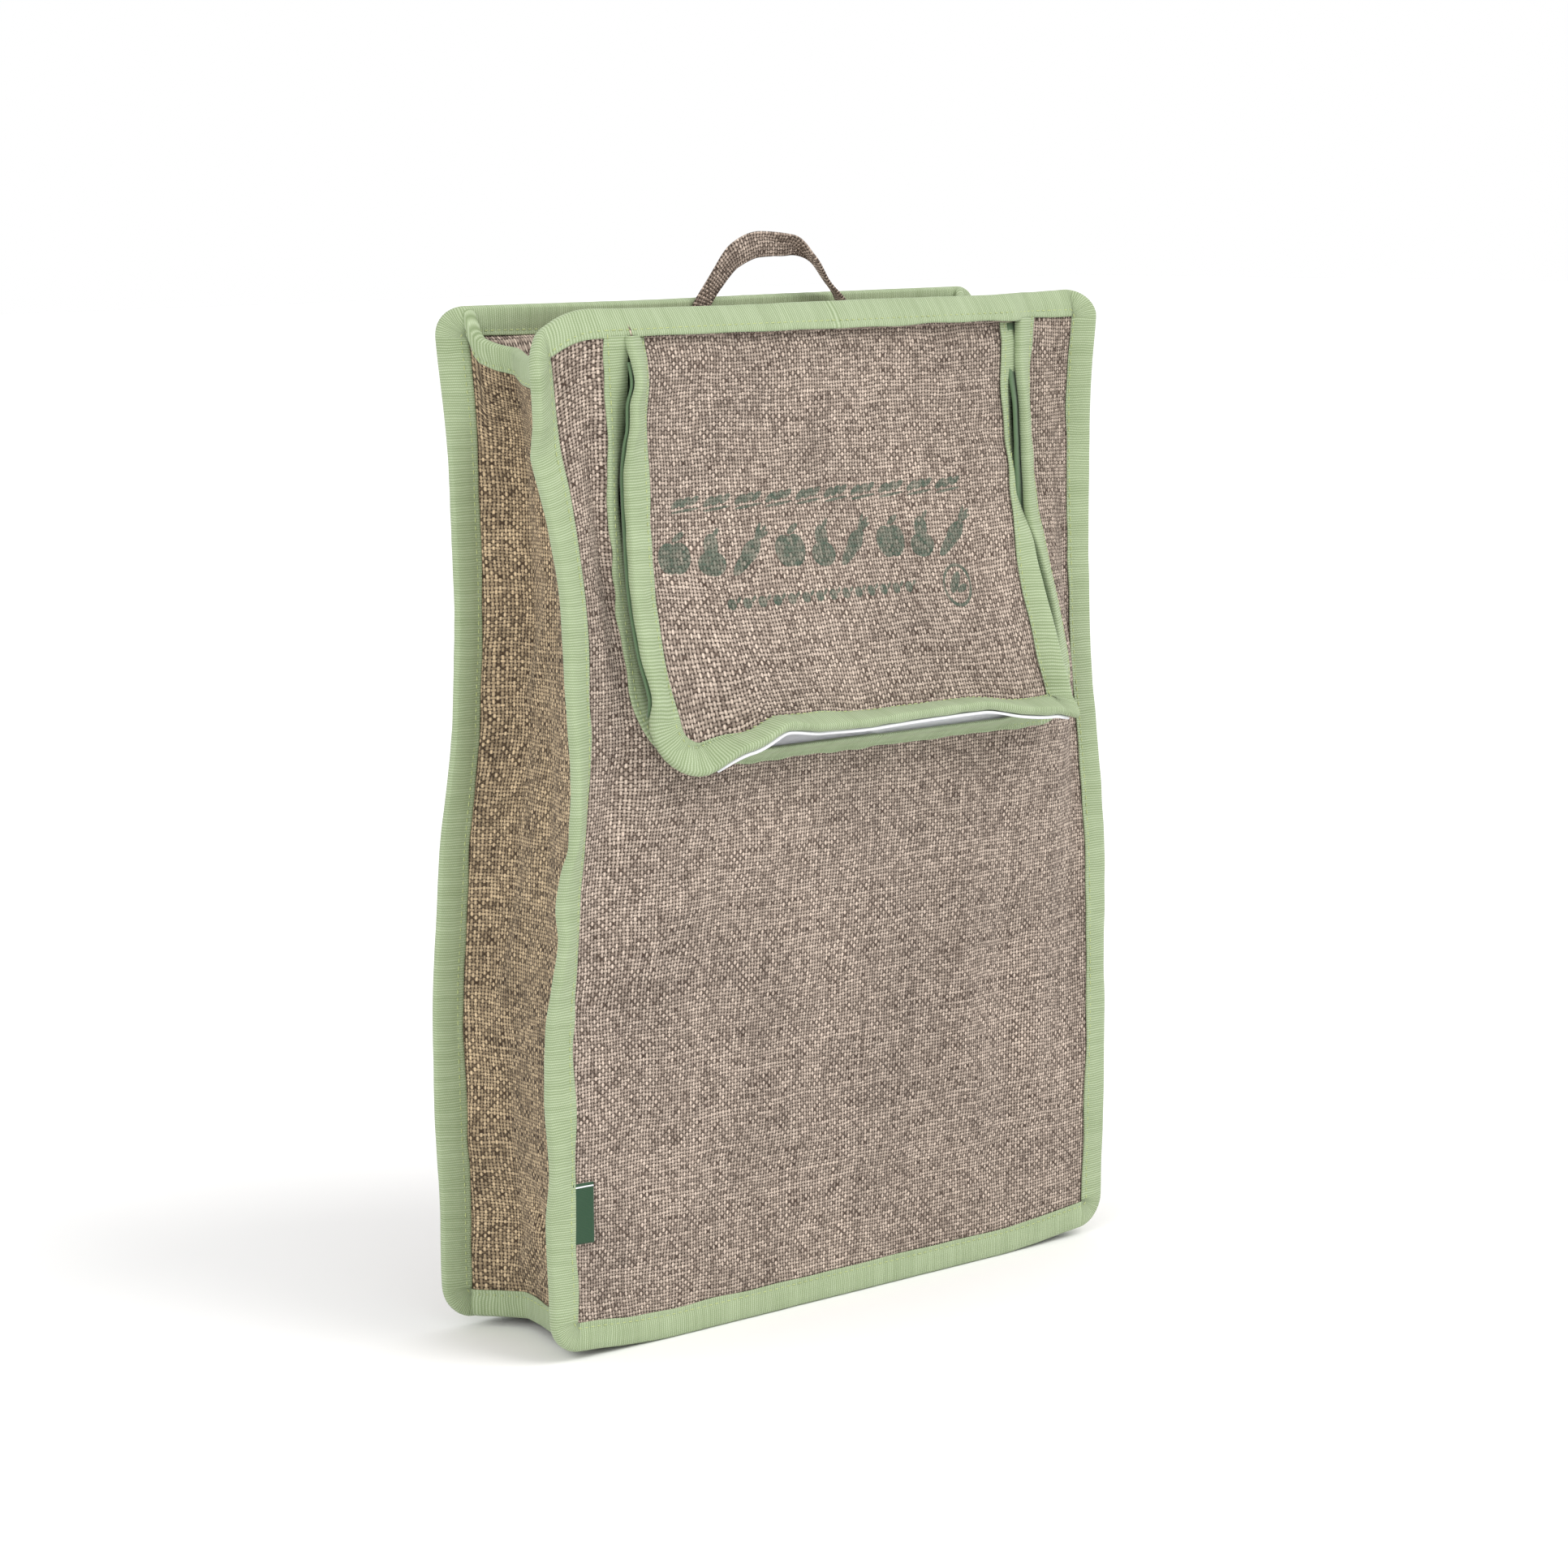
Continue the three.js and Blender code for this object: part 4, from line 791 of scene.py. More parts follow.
def new_group(name, inputs, outputs):
    """Empty shader node group with named sockets. Returns the group, its inputs and its output node."""
    group = bpy.data.node_groups.new(name, "ShaderNodeTree")
    for title, kind, default in inputs:
        socket = group.interface.new_socket(name=title, in_out="INPUT", socket_type=kind)
        if default is not None:
            socket.default_value = default
    for title, kind in outputs:
        group.interface.new_socket(name=title, in_out="OUTPUT", socket_type=kind)
    entry, leave = group.nodes.new("NodeGroupInput"), group.nodes.new("NodeGroupOutput")
    return group, entry.outputs, leave


COLOUR, NUMBER, VECTOR = "NodeSocketColor", "NodeSocketFloat", "NodeSocketVector"


def burlap_group():
    """Plain weave of uneven threads: colour and height from a cloth map in metres."""
    group, given, leave = new_group(
        "Burlap Weave",
        [
            ("Cloth Map", VECTOR, None),
            ("Threads per Metre", NUMBER, 1020.0),
            ("Pale Thread", COLOUR, (0.5, 0.4, 0.34, 1)),
            ("Dark Thread", COLOUR, (0.2, 0.13, 0.1, 1)),
            ("Gap", COLOUR, (0.05, 0.03, 0.02, 1)),
            ("Unevenness", NUMBER, 0.9),
            ("Two Tones", NUMBER, 0.3),
            ("Single Dots", NUMBER, 0.68),
            ("Patches", NUMBER, 0.25),
        ],
        [("Color", COLOUR), ("Height", NUMBER), ("Thread Top", NUMBER)],
    )
    sway_scale, sway_reach = 0.045, 2.4
    fat_scale, fat_spread, fat_least = 0.16, 0.5, 0.6
    crown_rise, crown_base = 0.42, 0.56
    own_share, streak_share, streak_scale = 0.25, 0.5, 0.09
    fibre_scale, patch_scale = 2.6, 17.0
    middle_tone, gap_height, gap_slope = 0.36, 0.12, 1.75
    scaled = scaled_by(group, given["Cloth Map"], given["Threads per Metre"])
    inputs = {"Vector": scaled, "Scale": sway_scale, "Detail": 2.0}
    sway = node(group, "ShaderNodeTexNoise", inputs, noise_dimensions="2D").outputs[1]
    sway = scaled_by(group, moved_by(group, "SUBTRACT", sway, (0.5, 0.5, 0.5)), sway_reach)
    threads = moved_by(group, "ADD", scaled, sway)
    x, y, _ = parts_of(group, threads)
    heights, tones = [], []
    for across, along, lift, seed, tint in ((x, y, 0.0, 3.7, 0.5), (y, x, 1.0, 8.3, -0.5)):
        number = maths(group, "FLOOR", across)
        place = fused(group, maths(group, "FRACT", across), 2.0, -1.0)
        plump = noise(group, joined(group, times(group, number, seed), times(group, along, fat_scale)), 1.0)
        off = maths(group, "DIVIDE", place, fused(group, plump, fat_spread, fat_least))
        dome = maths(group, "SUBTRACT", 1.0, times(group, off, off), clamp=True)
        beat = plus(group, plus(group, along, number), lift - 0.5)
        wave = maths(group, "COSINE", times(group, beat, math.pi))
        heights.append(times(group, dome, fused(group, wave, crown_rise, crown_base)))
        own = dice_of(group, "1D", "W", plus(group, number, seed))
        run = joined(group, times(group, number, 2.3 + seed), times(group, along, streak_scale))
        streak = times(group, noise(group, run, 1.0, 3.0), streak_share)
        tinted = fused(group, given["Two Tones"], tint, times(group, own, own_share))
        tones.append(plus(group, tinted, streak))
    over = maths(group, "GREATER_THAN", heights[1], heights[0])
    height = maths(group, "MAXIMUM", heights[0], heights[1])
    tone = node(group, "ShaderNodeMix", {0: over, 2: tones[0], 3: tones[1]}, data_type="FLOAT").outputs[0]
    crossing = joined(group, maths(group, "FLOOR", x), maths(group, "FLOOR", y))
    dot = minus(group, dice_of(group, "2D", "Vector", crossing), 0.5)
    tone = minus(group, fused(group, dot, given["Single Dots"], tone), middle_tone)
    fibre = fused(group, noise(group, threads, fibre_scale), 0.5, 0.28)
    shade = plus(group, times(group, tone, given["Unevenness"]), fibre, clamp=True)
    thread = blend(group, shade, given["Dark Thread"], given["Pale Thread"])
    rise = times(group, minus(group, height, gap_height), gap_slope, clamp=True)
    woven = blend(group, rise, given["Gap"], thread)
    patch = minus(group, noise(group, given["Cloth Map"], patch_scale, 3.0), 0.5)
    light = fused(group, patch, times(group, given["Patches"], 2.0), 1.0)
    give(group, leave, Color=scaled_by(group, woven, light), Height=height, Thread_Top=rise)


def tape_group():
    """Ribs across a tape: colour and height from a map whose first value runs along the tape. Its furrows are
    darker as painted shade.
    """
    group, given, leave = new_group(
        "Ribbed Tape",
        [
            ("Cloth Map", VECTOR, None),
            ("Ribs per Metre", NUMBER, 950.0),
            ("Rib Colour", COLOUR, (0.5, 0.65, 0.34, 1)),
            ("Furrow Shade", COLOUR, (0.3, 0.42, 0.18, 1)),
        ],
        [("Color", COLOUR), ("Height", NUMBER)],
    )
    slant_scale, slant_reach, beads_per_rib = 0.06, 1.6, 1.25
    own_share, blotch_share, blotch_scale = 0.16, 0.28, 55.0
    scaled = scaled_by(group, given["Cloth Map"], given["Ribs per Metre"])
    x, y, _ = parts_of(group, scaled)
    slant = times(group, minus(group, noise(group, scaled, slant_scale), 0.5), slant_reach)
    run = plus(group, x, slant)
    rib = crest(group, times(group, run, TAU))
    row = maths(group, "FLOOR", plus(group, run, 0.5))
    bead = crest(group, fused(group, y, TAU * beads_per_rib, times(group, row, math.pi)))
    height = times(group, rib, fused(group, bead, 0.35, 0.65))
    own = times(group, dice_of(group, "1D", "W", row), own_share)
    blotch = times(group, noise(group, given["Cloth Map"], blotch_scale, 3.0), blotch_share)
    # The colour darkens with the rib height: the darker furrows are painted shade; the per-rib and blotchy
    # tone is the tape's own.
    tone = plus(group, fused(group, height, 0.75, 0.02), plus(group, own, blotch), clamp=True)
    colour = blend(group, tone, given["Furrow Shade"], given["Rib Colour"])
    give(group, leave, Color=colour, Height=height)


# Print on the flap, in millimetres. Each row repeats its ovals: pitch, start, end and level, and for each
# oval the place of its centre, half its width and height, and its turn in degrees
PRINT_ROWS = (
    (15.0, -86.0, 64.0, 336.0, (
        (-3.6, 1.2, 3.2, 1.3, 32), (0.4, 1.6, 3.2, 1.3, 32), (4.4, 2.0, 3.0, 1.2, 32),
        (0.0, -1.6, 6.6, 0.55, 6),
    )),
    (54.0, -94.0, 68.0, 317.0, (
        (-20.4, -0.6, 5.0, 6.0, 12), (-15.8, -0.6, 5.0, 6.0, -12), (-15.6, 7.4, 3.2, 1.2, 32),
        (-1.6, -3.0, 6.2, 4.6, 0), (-1.2, 3.4, 3.3, 4.6, -8), (1.6, 8.2, 2.4, 0.9, 48),
        (14.6, -1.8, 9.4, 2.5, 38), (16.8, 0.4, 5.4, 3.3, 38),
        (22.6, 5.6, 4.0, 0.9, 20), (21.4, 7.2, 4.0, 0.9, 62), (22.6, 6.4, 4.4, 0.9, 42),
    )),
    (7.0, -66.0, 32.0, 299.0, ((-0.8, 0.0, 2.0, 2.0, 0), (2.6, 1.4, 1.6, 0.6, 40))),
)
BADGE = (55.0, 298.0, 8.0, 8.0, 0)
BADGE_HOLE = 0.84
BADGE_LEAVES = ((54.0, 299.0, 4.6, 2.2, 52), (57.4, 296.6, 3.0, 1.3, 20))


def oval(tree, vector, x, z, wide, high, turn):
    """Distance from an oval's centre, 1 on its edge."""
    inputs = {
        "Vector": vector, "Location": (x * MM, z * MM, 0), "Rotation": (0, 0, math.radians(turn)),
        "Scale": (wide * MM, high * MM, 1),
    }
    mapped = node(tree, "ShaderNodeMapping", inputs, vector_type="TEXTURE").outputs[0]
    flat = moved_by(tree, "MULTIPLY", mapped, (1, 1, 0))
    return node(tree, "ShaderNodeVectorMath", {0: flat}, operation="LENGTH").outputs[1]


def ovals(tree, vector, shapes):
    """Mask of the places inside any of a table's ovals."""
    nearest = oval(tree, vector, *shapes[0])
    for shape in shapes[1:]:
        nearest = maths(tree, "MINIMUM", nearest, oval(tree, vector, *shape))
    return maths(tree, "LESS_THAN", nearest, 1.0)


def print_row(tree, vector, pitch, start, end, level, shapes):
    """Mask of a row of repeated shapes."""
    x, z, _ = parts_of(tree, vector)
    turns = maths(tree, "FRACT", maths(tree, "DIVIDE", minus(tree, x, start * MM), pitch * MM))
    local = joined(tree, times(tree, minus(tree, turns, 0.5), pitch * MM), minus(tree, z, level * MM))
    past = maths(tree, "GREATER_THAN", x, start * MM)
    before = maths(tree, "LESS_THAN", x, end * MM)
    return times(tree, ovals(tree, local, shapes), times(tree, past, before))


def print_group():
    """Rows of plain fruit, root and leaf shapes: an ink mask from the flap's map in metres."""
    group, given, leave = new_group("Produce Print", [("Cloth Map", VECTOR, None)], [("Ink", NUMBER)])
    where = given["Cloth Map"]
    badge = oval(group, where, *BADGE)
    within = maths(group, "LESS_THAN", badge, 1.0)
    ring = times(group, within, maths(group, "GREATER_THAN", badge, BADGE_HOLE))
    ink = maths(group, "MAXIMUM", ring, ovals(group, where, BADGE_LEAVES))
    for row in PRINT_ROWS:
        ink = maths(group, "MAXIMUM", ink, print_row(group, where, *row))
    give(group, leave, Ink=ink)


def shade_of(colour, share=1.0):
    """Opaque colour, darkened to a share of itself."""
    return (*(c * share for c in colour), 1.0)


def finish_of(name, roughness, sheen=0.0, specular=0.3):
    """New material with a Principled shader. Returns the material, its tree and the shader."""
    material = bpy.data.materials.new(name)
    material.use_nodes = True
    tree = material.node_tree
    shader = next(n for n in tree.nodes if n.type == "BSDF_PRINCIPLED")
    shader.inputs["Roughness"].default_value = roughness
    shader.inputs["Sheen Weight"].default_value = sheen
    shader.inputs["Specular IOR Level"].default_value = specular
    return material, tree, shader


def bumped(tree, shader, height, distance, strength=1.0):
    """Feeds a height in metres through a Bump node to the shader's normal."""
    bump = node(tree, "ShaderNodeBump", {"Strength": strength, "Distance": distance, "Height": height})
    tree.links.new(bump.outputs[0], shader.inputs["Normal"])


def cloth_map(tree):
    """The piece's own map of its cloth, in metres."""
    return node(tree, "ShaderNodeUVMap", uv_map="cloth").outputs[0]


def burlap_material(name, pale, dark, patches, unevenness, inked=False):
    """Burlap of two thread colours, with worn ink on it where it is the flap's."""
    material, tree, shader = finish_of(name, 0.92, 0.06, 0.2)
    sizes, colours = bpy.context.scene.bag_sizes, bpy.context.scene.bag_colours
    where = cloth_map(tree)
    weave = of_group(tree, "Burlap Weave", {
        "Cloth Map": where, "Threads per Metre": 1 / sizes.thread_pitch, "Pale Thread": shade_of(pale),
        "Dark Thread": shade_of(dark), "Gap": shade_of(colours.weave_gap), "Patches": patches,
        "Unevenness": unevenness,
    })
    colour = weave.outputs["Color"]
    if inked:
        mark = of_group(tree, "Produce Print", {"Cloth Map": where}).outputs["Ink"]
        worn = fused(tree, noise(tree, where, 260.0, 3.0), 0.9, 0.28)
        taken = fused(tree, weave.outputs["Thread Top"], 0.45, 0.5)
        hold = times(tree, times(tree, mark, worn), taken, clamp=True)
        colour = blend(tree, hold, colour, shade_of(colours.ink))
    tree.links.new(colour, shader.inputs["Base Color"])
    bumped(tree, shader, weave.outputs["Height"], 0.0006, 0.9)
    return material


def tape_material(name, rib, furrow):
    """Ribbed tape: a green on its ribs, darkened in its furrows by painted shade."""
    material, tree, shader = finish_of(name, 0.78, 0.12, 0.25)
    tape = of_group(tree, "Ribbed Tape", {
        "Cloth Map": cloth_map(tree), "Ribs per Metre": 1 / bpy.context.scene.bag_sizes.rib_pitch,
        "Rib Colour": shade_of(rib), "Furrow Shade": shade_of(furrow),
    })
    tree.links.new(tape.outputs["Color"], shader.inputs["Base Color"])
    bumped(tree, shader, tape.outputs["Height"], 0.00022, 0.8)
    return material


def strip_material(name, colour):
    """Fine short pile of a closure strip."""
    material, tree, shader = finish_of(name, 0.6, 0.2, 0.3)
    pile = noise(tree, cloth_map(tree), 2600.0)
    tree.links.new(blend(tree, pile, shade_of(colour, 0.82), shade_of(colour)), shader.inputs["Base Color"])
    bumped(tree, shader, pile, 0.0002, 0.5)
    return material


def label_material():
    """Woven label: fine even cross ribs, with painted shade between them, and a pale line near its upper end.
    """
    rib_pitch, line_down, line_half = 0.5, 1.4, 0.3
    colours = bpy.context.scene.bag_colours
    material, tree, shader = finish_of("label_weave", 0.6, 0.1, 0.35)
    up = parts_of(tree, cloth_map(tree))[1]
    rib = crest(tree, times(tree, up, TAU / (rib_pitch * MM)))
    # Darker between the ribs, following the rib wave: painted shade.
    green = blend(tree, rib, shade_of(colours.label, 0.8), shade_of(colours.label))
    off = maths(tree, "ABSOLUTE", minus(tree, up, (LABEL_HEIGHT - line_down) * MM))
    line = times(tree, maths(tree, "LESS_THAN", off, line_half * MM), 0.8)
    tree.links.new(blend(tree, line, green, shade_of(colours.strip)), shader.inputs["Base Color"])
    bumped(tree, shader, rib, 0.00008, 0.6)
    return material


def thread_material():
    """Twisted sewing thread."""
    thread = bpy.context.scene.bag_colours.thread
    material, tree, shader = finish_of("sewing_thread", 0.55, 0.1, 0.4)
    grain = noise(tree, node(tree, "ShaderNodeTexCoord").outputs["Object"], 1800.0, 2.0, "3D")
    tree.links.new(blend(tree, grain, shade_of(thread, 0.6), shade_of(thread)), shader.inputs["Base Color"])
    return material


def finishes():
    """All the bag's materials by name, made once."""
    if "burlap_front" in bpy.data.materials:
        return bpy.data.materials
    colours = bpy.context.scene.bag_colours
    for group in (burlap_group, tape_group, print_group):
        group()
    burlap_material("burlap_front", colours.pale_thread, colours.dark_thread, 0.2, 0.85)
    burlap_material("burlap_flap", colours.pale_thread, colours.dark_thread, 0.2, 0.85, inked=True)
    # Darker, yellower burlap of the side gussets: the yellow is the cloth's own tone, and part of the
    # darkness is painted shade of the side faces.
    burlap_material("burlap_gusset_shaded", colours.shaded_gusset_pale, colours.shaded_gusset_dark, 0.32, 1.0)
    tape_material("green_tape", colours.tape_rib, colours.tape_furrow_shade)
    strip_material("white_strip", colours.strip)
    # The same pile in the dark green colour, which is painted shade in the slots with painted reflection of
    # the green tapes.
    strip_material("painted_shade_strip", colours.painted_shade_strip)
    label_material()
    thread_material()
    return bpy.data.materials


# Settings


def size_setting(title, text, value):
    """Length that a user can set, in metres."""
    return FloatProperty(
        name=title, description=text, default=value, min=0.0, precision=5, subtype="DISTANCE", unit="LENGTH",
    )


def colour_setting(title, text, value):
    """Colour that a user can set."""
    return FloatVectorProperty(
        name=title, description=text, default=value, size=3, min=0.0, max=1.0, subtype="COLOR",
    )


class BagSizes(bpy.types.PropertyGroup):
    """Sizes of the cloth, tape and stitches."""

    thread_pitch: size_setting("Thread Pitch", "Distance between two threads of the burlap", 0.00148)
    rib_pitch: size_setting("Rib Pitch", "Distance between two ribs of the tape", 0.00105)
    cloth_cell: size_setting("Cloth Cell", "Size of one cell of the cloth's mesh", 0.0026)
    tape_cell: size_setting("Tape Cell", "Length of one part of a tape's mesh", 0.0022)
    stitch_pitch: size_setting("Stitch Pitch", "Distance between two stitches", 0.0032)
    stitch_length: size_setting("Stitch Length", "Length of one stitch", 0.0023)
    stitch_width: size_setting("Stitch Width", "Width of the sewing thread", 0.00052)
    stitch_inset: size_setting("Stitch Inset", "Distance from a tape's free edge to its stitches", 0.0021)
    stitch_seed: IntProperty(
        name="Stitch Seed", description="Seed of the stitches' unevenness", default=4, min=0,
    )


class BagColours(bpy.types.PropertyGroup):
    """Colours of the cloth, tape, print and thread."""

    pale_thread: colour_setting("Pale Thread", "Palest thread of the burlap", (0.71, 0.585, 0.49))
    dark_thread: colour_setting("Dark Thread", "Darkest thread of the burlap", (0.072, 0.046, 0.034))
    weave_gap: colour_setting("Weave Gap", "Shade between the threads", (0.038, 0.026, 0.019))
    # The side gussets' burlap is a yellower copy of the front's; part of its lower brightness is painted
    # shade of the side faces.
    shaded_gusset_pale: colour_setting("Shaded Gusset Pale", "Palest thread of the side gussets", (0.69, 0.53, 0.34))
    shaded_gusset_dark: colour_setting("Shaded Gusset Dark", "Darkest thread of the side gussets", (0.06, 0.038, 0.022))
    tape_rib: colour_setting("Tape Rib", "Crest of the tape's ribs", (0.425, 0.505, 0.33))
    # The darker furrow colour is painted shade between the ribs.
    tape_furrow_shade: colour_setting("Tape Furrow Shade", "Furrow between the tape's ribs", (0.175, 0.235, 0.11))
    thread: colour_setting("Sewing Thread", "Thread of the seams", (0.5, 0.58, 0.26))
    strip: colour_setting("Closure Strip", "White closure strips", (0.92, 0.93, 0.97))
    # The strips beside the slots are white; this dark green is painted shade in the narrow slots, tinted by
    # painted reflection of the green tapes.
    painted_shade_strip: colour_setting("Painted Shade Strip", "Green closure strips beside the slots", (0.1, 0.17, 0.085))
    ink: colour_setting("Ink", "Faded print on the flap", (0.035, 0.085, 0.06))
    label: colour_setting("Label", "Woven side label", (0.016, 0.062, 0.026))


# Stage

PHOTO_SIDE = 1932
VIEW_AZIMUTH = 40.51
VIEW_ELEVATION = 8.15
VIEW_ROLL = -0.82
VIEW_DISTANCE = 1697.05
VIEW_TARGET = (2.67, -1.3, 223.02)
FOCAL_PIXELS = 5003.13
VIEW_CENTRE = (967.12, 934.44)
SENSOR = 36.0
FLOOR_REACH = 12.0
LIGHT_TARGET = (0, 0, 0.2)


def area_light(name, place, target, size, power, colour):
    """Soft square light at a place, aimed at a target."""
    data = bpy.data.lights.new(name, "AREA")
    data.size, data.energy, data.color = size, power, colour
    light = bpy.data.objects.new(name, data)
    light.location = place
    light.rotation_euler = (Vector(target) - Vector(place)).to_track_quat("-Z", "Y").to_euler()
    bpy.context.scene.collection.objects.link(light)


def sun_light(name, heading, strength, softness, colour):
    """Even light that comes from a heading, with soft shadows. softness is its disc in degrees."""
    data = bpy.data.lights.new(name, "SUN")
    data.energy, data.angle, data.color = strength, math.radians(softness), colour
    light = bpy.data.objects.new(name, data)
    light.location = heading
    light.rotation_euler = Vector(heading).to_track_quat("Z", "Y").to_euler()
    bpy.context.scene.collection.objects.link(light)


def make_camera():
    """Camera at the photograph's viewing angle."""
    azimuth, elevation, roll = (math.radians(a) for a in (VIEW_AZIMUTH, VIEW_ELEVATION, VIEW_ROLL))
    level = math.cos(elevation)
    back = Vector((-math.sin(azimuth) * level, -math.cos(azimuth) * level, math.sin(elevation)))
    right = Vector((math.cos(azimuth), -math.sin(azimuth), 0))
    up = back.cross(right)
    turned_right = right * math.cos(roll) + up * math.sin(roll)
    turned_up = up * math.cos(roll) - right * math.sin(roll)
    data = bpy.data.cameras.new("camera")
    data.sensor_width = SENSOR
    data.lens = FOCAL_PIXELS / PHOTO_SIDE * data.sensor_width
    data.shift_x = (PHOTO_SIDE / 2 - VIEW_CENTRE[0]) / PHOTO_SIDE
    data.shift_y = (VIEW_CENTRE[1] - PHOTO_SIDE / 2) / PHOTO_SIDE
    camera = bpy.data.objects.new("camera", data)
    bpy.context.scene.collection.objects.link(camera)
    place = (Vector(VIEW_TARGET) + Vector(SHIFT) + back * VIEW_DISTANCE) * MM
    turn = Matrix((turned_right, turned_up, back)).transposed()
    camera.matrix_world = Matrix.Translation(place) @ turn.to_4x4()
    bpy.context.scene.camera = camera


class BAG_OT_stage(bpy.types.Operator):
    """Make the pale floor, the soft lights and the camera"""

    bl_idname = "bag.stage"
    bl_label = "Stage"

    def execute(self, context):
        make_camera()
        material, tree, shader = finish_of("pale_floor", 0.9)
        speck = noise(tree, node(tree, "ShaderNodeTexCoord").outputs["Object"], 3.0, 1.0, "3D")
        ground = blend(tree, speck, (0.88, 0.88, 0.88, 1), (0.9, 0.9, 0.9, 1))
        tree.links.new(ground, shader.inputs["Base Color"])
        mesh = bpy.data.meshes.new("floor")
        corners = [(x * FLOOR_REACH, y * FLOOR_REACH, 0) for x, y in ((-1, -1), (1, -1), (1, 1), (-1, 1))]
        mesh.from_pydata(corners, [], [(0, 1, 2, 3)])
        mesh.materials.append(material)
        floor = bpy.data.objects.new("floor", mesh)
        context.scene.collection.objects.link(floor)
        world = bpy.data.worlds.new("studio")
        world.use_nodes = True
        sky = next(n for n in world.node_tree.nodes if n.type == "BACKGROUND")
        sky.inputs["Color"].default_value = (1, 1, 1, 1)
        sky.inputs["Strength"].default_value = 1.0
        context.scene.world = world
        sun_light("key_light", (0.55, -1.0, 1.15), 1.5, 35.0, (1.0, 0.985, 0.96))
        area_light("left_light", (-1.6, -0.7, 0.8), LIGHT_TARGET, 0.8, 9.0, (1.0, 0.98, 0.94))
        context.scene.view_settings.view_transform = "Standard"
        context.scene.view_settings.look = "None"
        return {"FINISHED"}


# Pieces


def settle(piece, nodes):
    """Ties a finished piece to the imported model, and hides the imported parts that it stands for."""
    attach(piece, "root")
    if nodes:
        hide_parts(*nodes)


def cell():
    """Size of the cloth's cells in millimetres."""
    return bpy.context.scene.bag_sizes.cloth_cell / MM


PANEL_BOX = (-HALF_WIDTH + EDGE_ROOM, HALF_WIDTH - EDGE_ROOM, EDGE_ROOM, BAG_HEIGHT - EDGE_ROOM)
PANEL_RADII = (RIM_RADIUS - EDGE_ROOM,) * 4
# Radius of a corner that isn't rounded, the cells of the smaller meshes and the loop's rings, in millimetres
SHARP = 0.01
SIDE_CELL = 2.2
LEVEL_CELL = 2.6
FLAP_CELL = 2.2
STRIP_CELL = (1.8, 2.4)
LABEL_CELL = 0.9
DEPTH_CELL = 1.8
LOOP_RINGS = 90


def panel_keep(x, z):
    """True where a cell belongs to a whole panel."""
    return not outside_round(x, z, PANEL_BOX, PANEL_RADII)


class BAG_OT_panels(bpy.types.Operator):
    """Make the front and back panels"""

    bl_idname = "bag.panels"
    bl_label = "Front and Back Panels"

    def execute(self, context):
        made = finishes()
        left, right, low, high = PANEL_BOX
        xs, zs = steps(left, right, cell()), steps(low, high, cell())
        cut = (OPENING_LEFT - EDGE_ROOM, OPENING_RIGHT + EDGE_ROOM, OPENING_BOTTOM - EDGE_ROOM, BAG_HEIGHT)
        cut_radii = (RADIUS_LEFT + EDGE_ROOM, RADIUS_RIGHT + EDGE_ROOM, SHARP, SHARP)
        front = cloth_grid(
            "front_panel_cloth", xs, zs, flat_at(-PANEL_Y), drape, made["burlap_front"],
            keep=lambda x, z: panel_keep(x, z) and outside_round(x, z, cut, cut_radii),
        )
        back = cloth_grid(
            "back_panel_cloth", xs, zs, flat_at(PANEL_Y), drape, made["burlap_front"],
            keep=panel_keep, flip=True,
        )
        settle(front, ["front_panel"])
        settle(back, ["back_panel"])
        return {"FINISHED"}


def wall_profile(wall, out, size):
    """Bent section of a gusset: depth and reach of its middle from flange to flange."""
    clear, bend = 0.6, 0.5
    flange = [(-FLANGE_Y, out), (-FLANGE_Y, (out + wall) / 2), (-FLANGE_Y, wall + bend * np.sign(out - wall))]
    middle = [(y, wall) for y in steps(-SEAM_Y + clear, SEAM_Y - clear, size)]
    return np.array(flange + middle + [(-y, r) for y, r in flange[::-1]])


def in_flange(k, count):
    """True where a cell of a gusset's section lies on one of its flanges."""
    return not 2 < k < count - 4


def side_gusset(made, name, side):
    """Side gusset: its section carried up the height."""
    profile = wall_profile(SIDE_X, PANEL_BOX[1], SIDE_CELL)
    count, lengths = len(profile), run_lengths(profile)
    tip = SEAM_CLEAR + EDGE_ROOM
    zs = steps(tip, BAG_HEIGHT - tip, cell())

    def place(i, z):
        rows = profile[i.astype(int)]
        return np.column_stack([side * rows[:, 1], rows[:, 0], z])

    # The side gussets take the darker burlap, part of whose darkness is painted shade of the side faces.
    piece = cloth_grid(
        name + "_cloth", np.arange(count, dtype=float), zs, place, drape, made["burlap_gusset_shaded"],
        flip=side > 0, keep=lambda i, z: not in_flange(i, count) or RIM_RADIUS < z < BAG_HEIGHT - RIM_RADIUS,
        maps=lambda i, z: (lengths[int(i)], z),
    )
    settle(piece, [name])


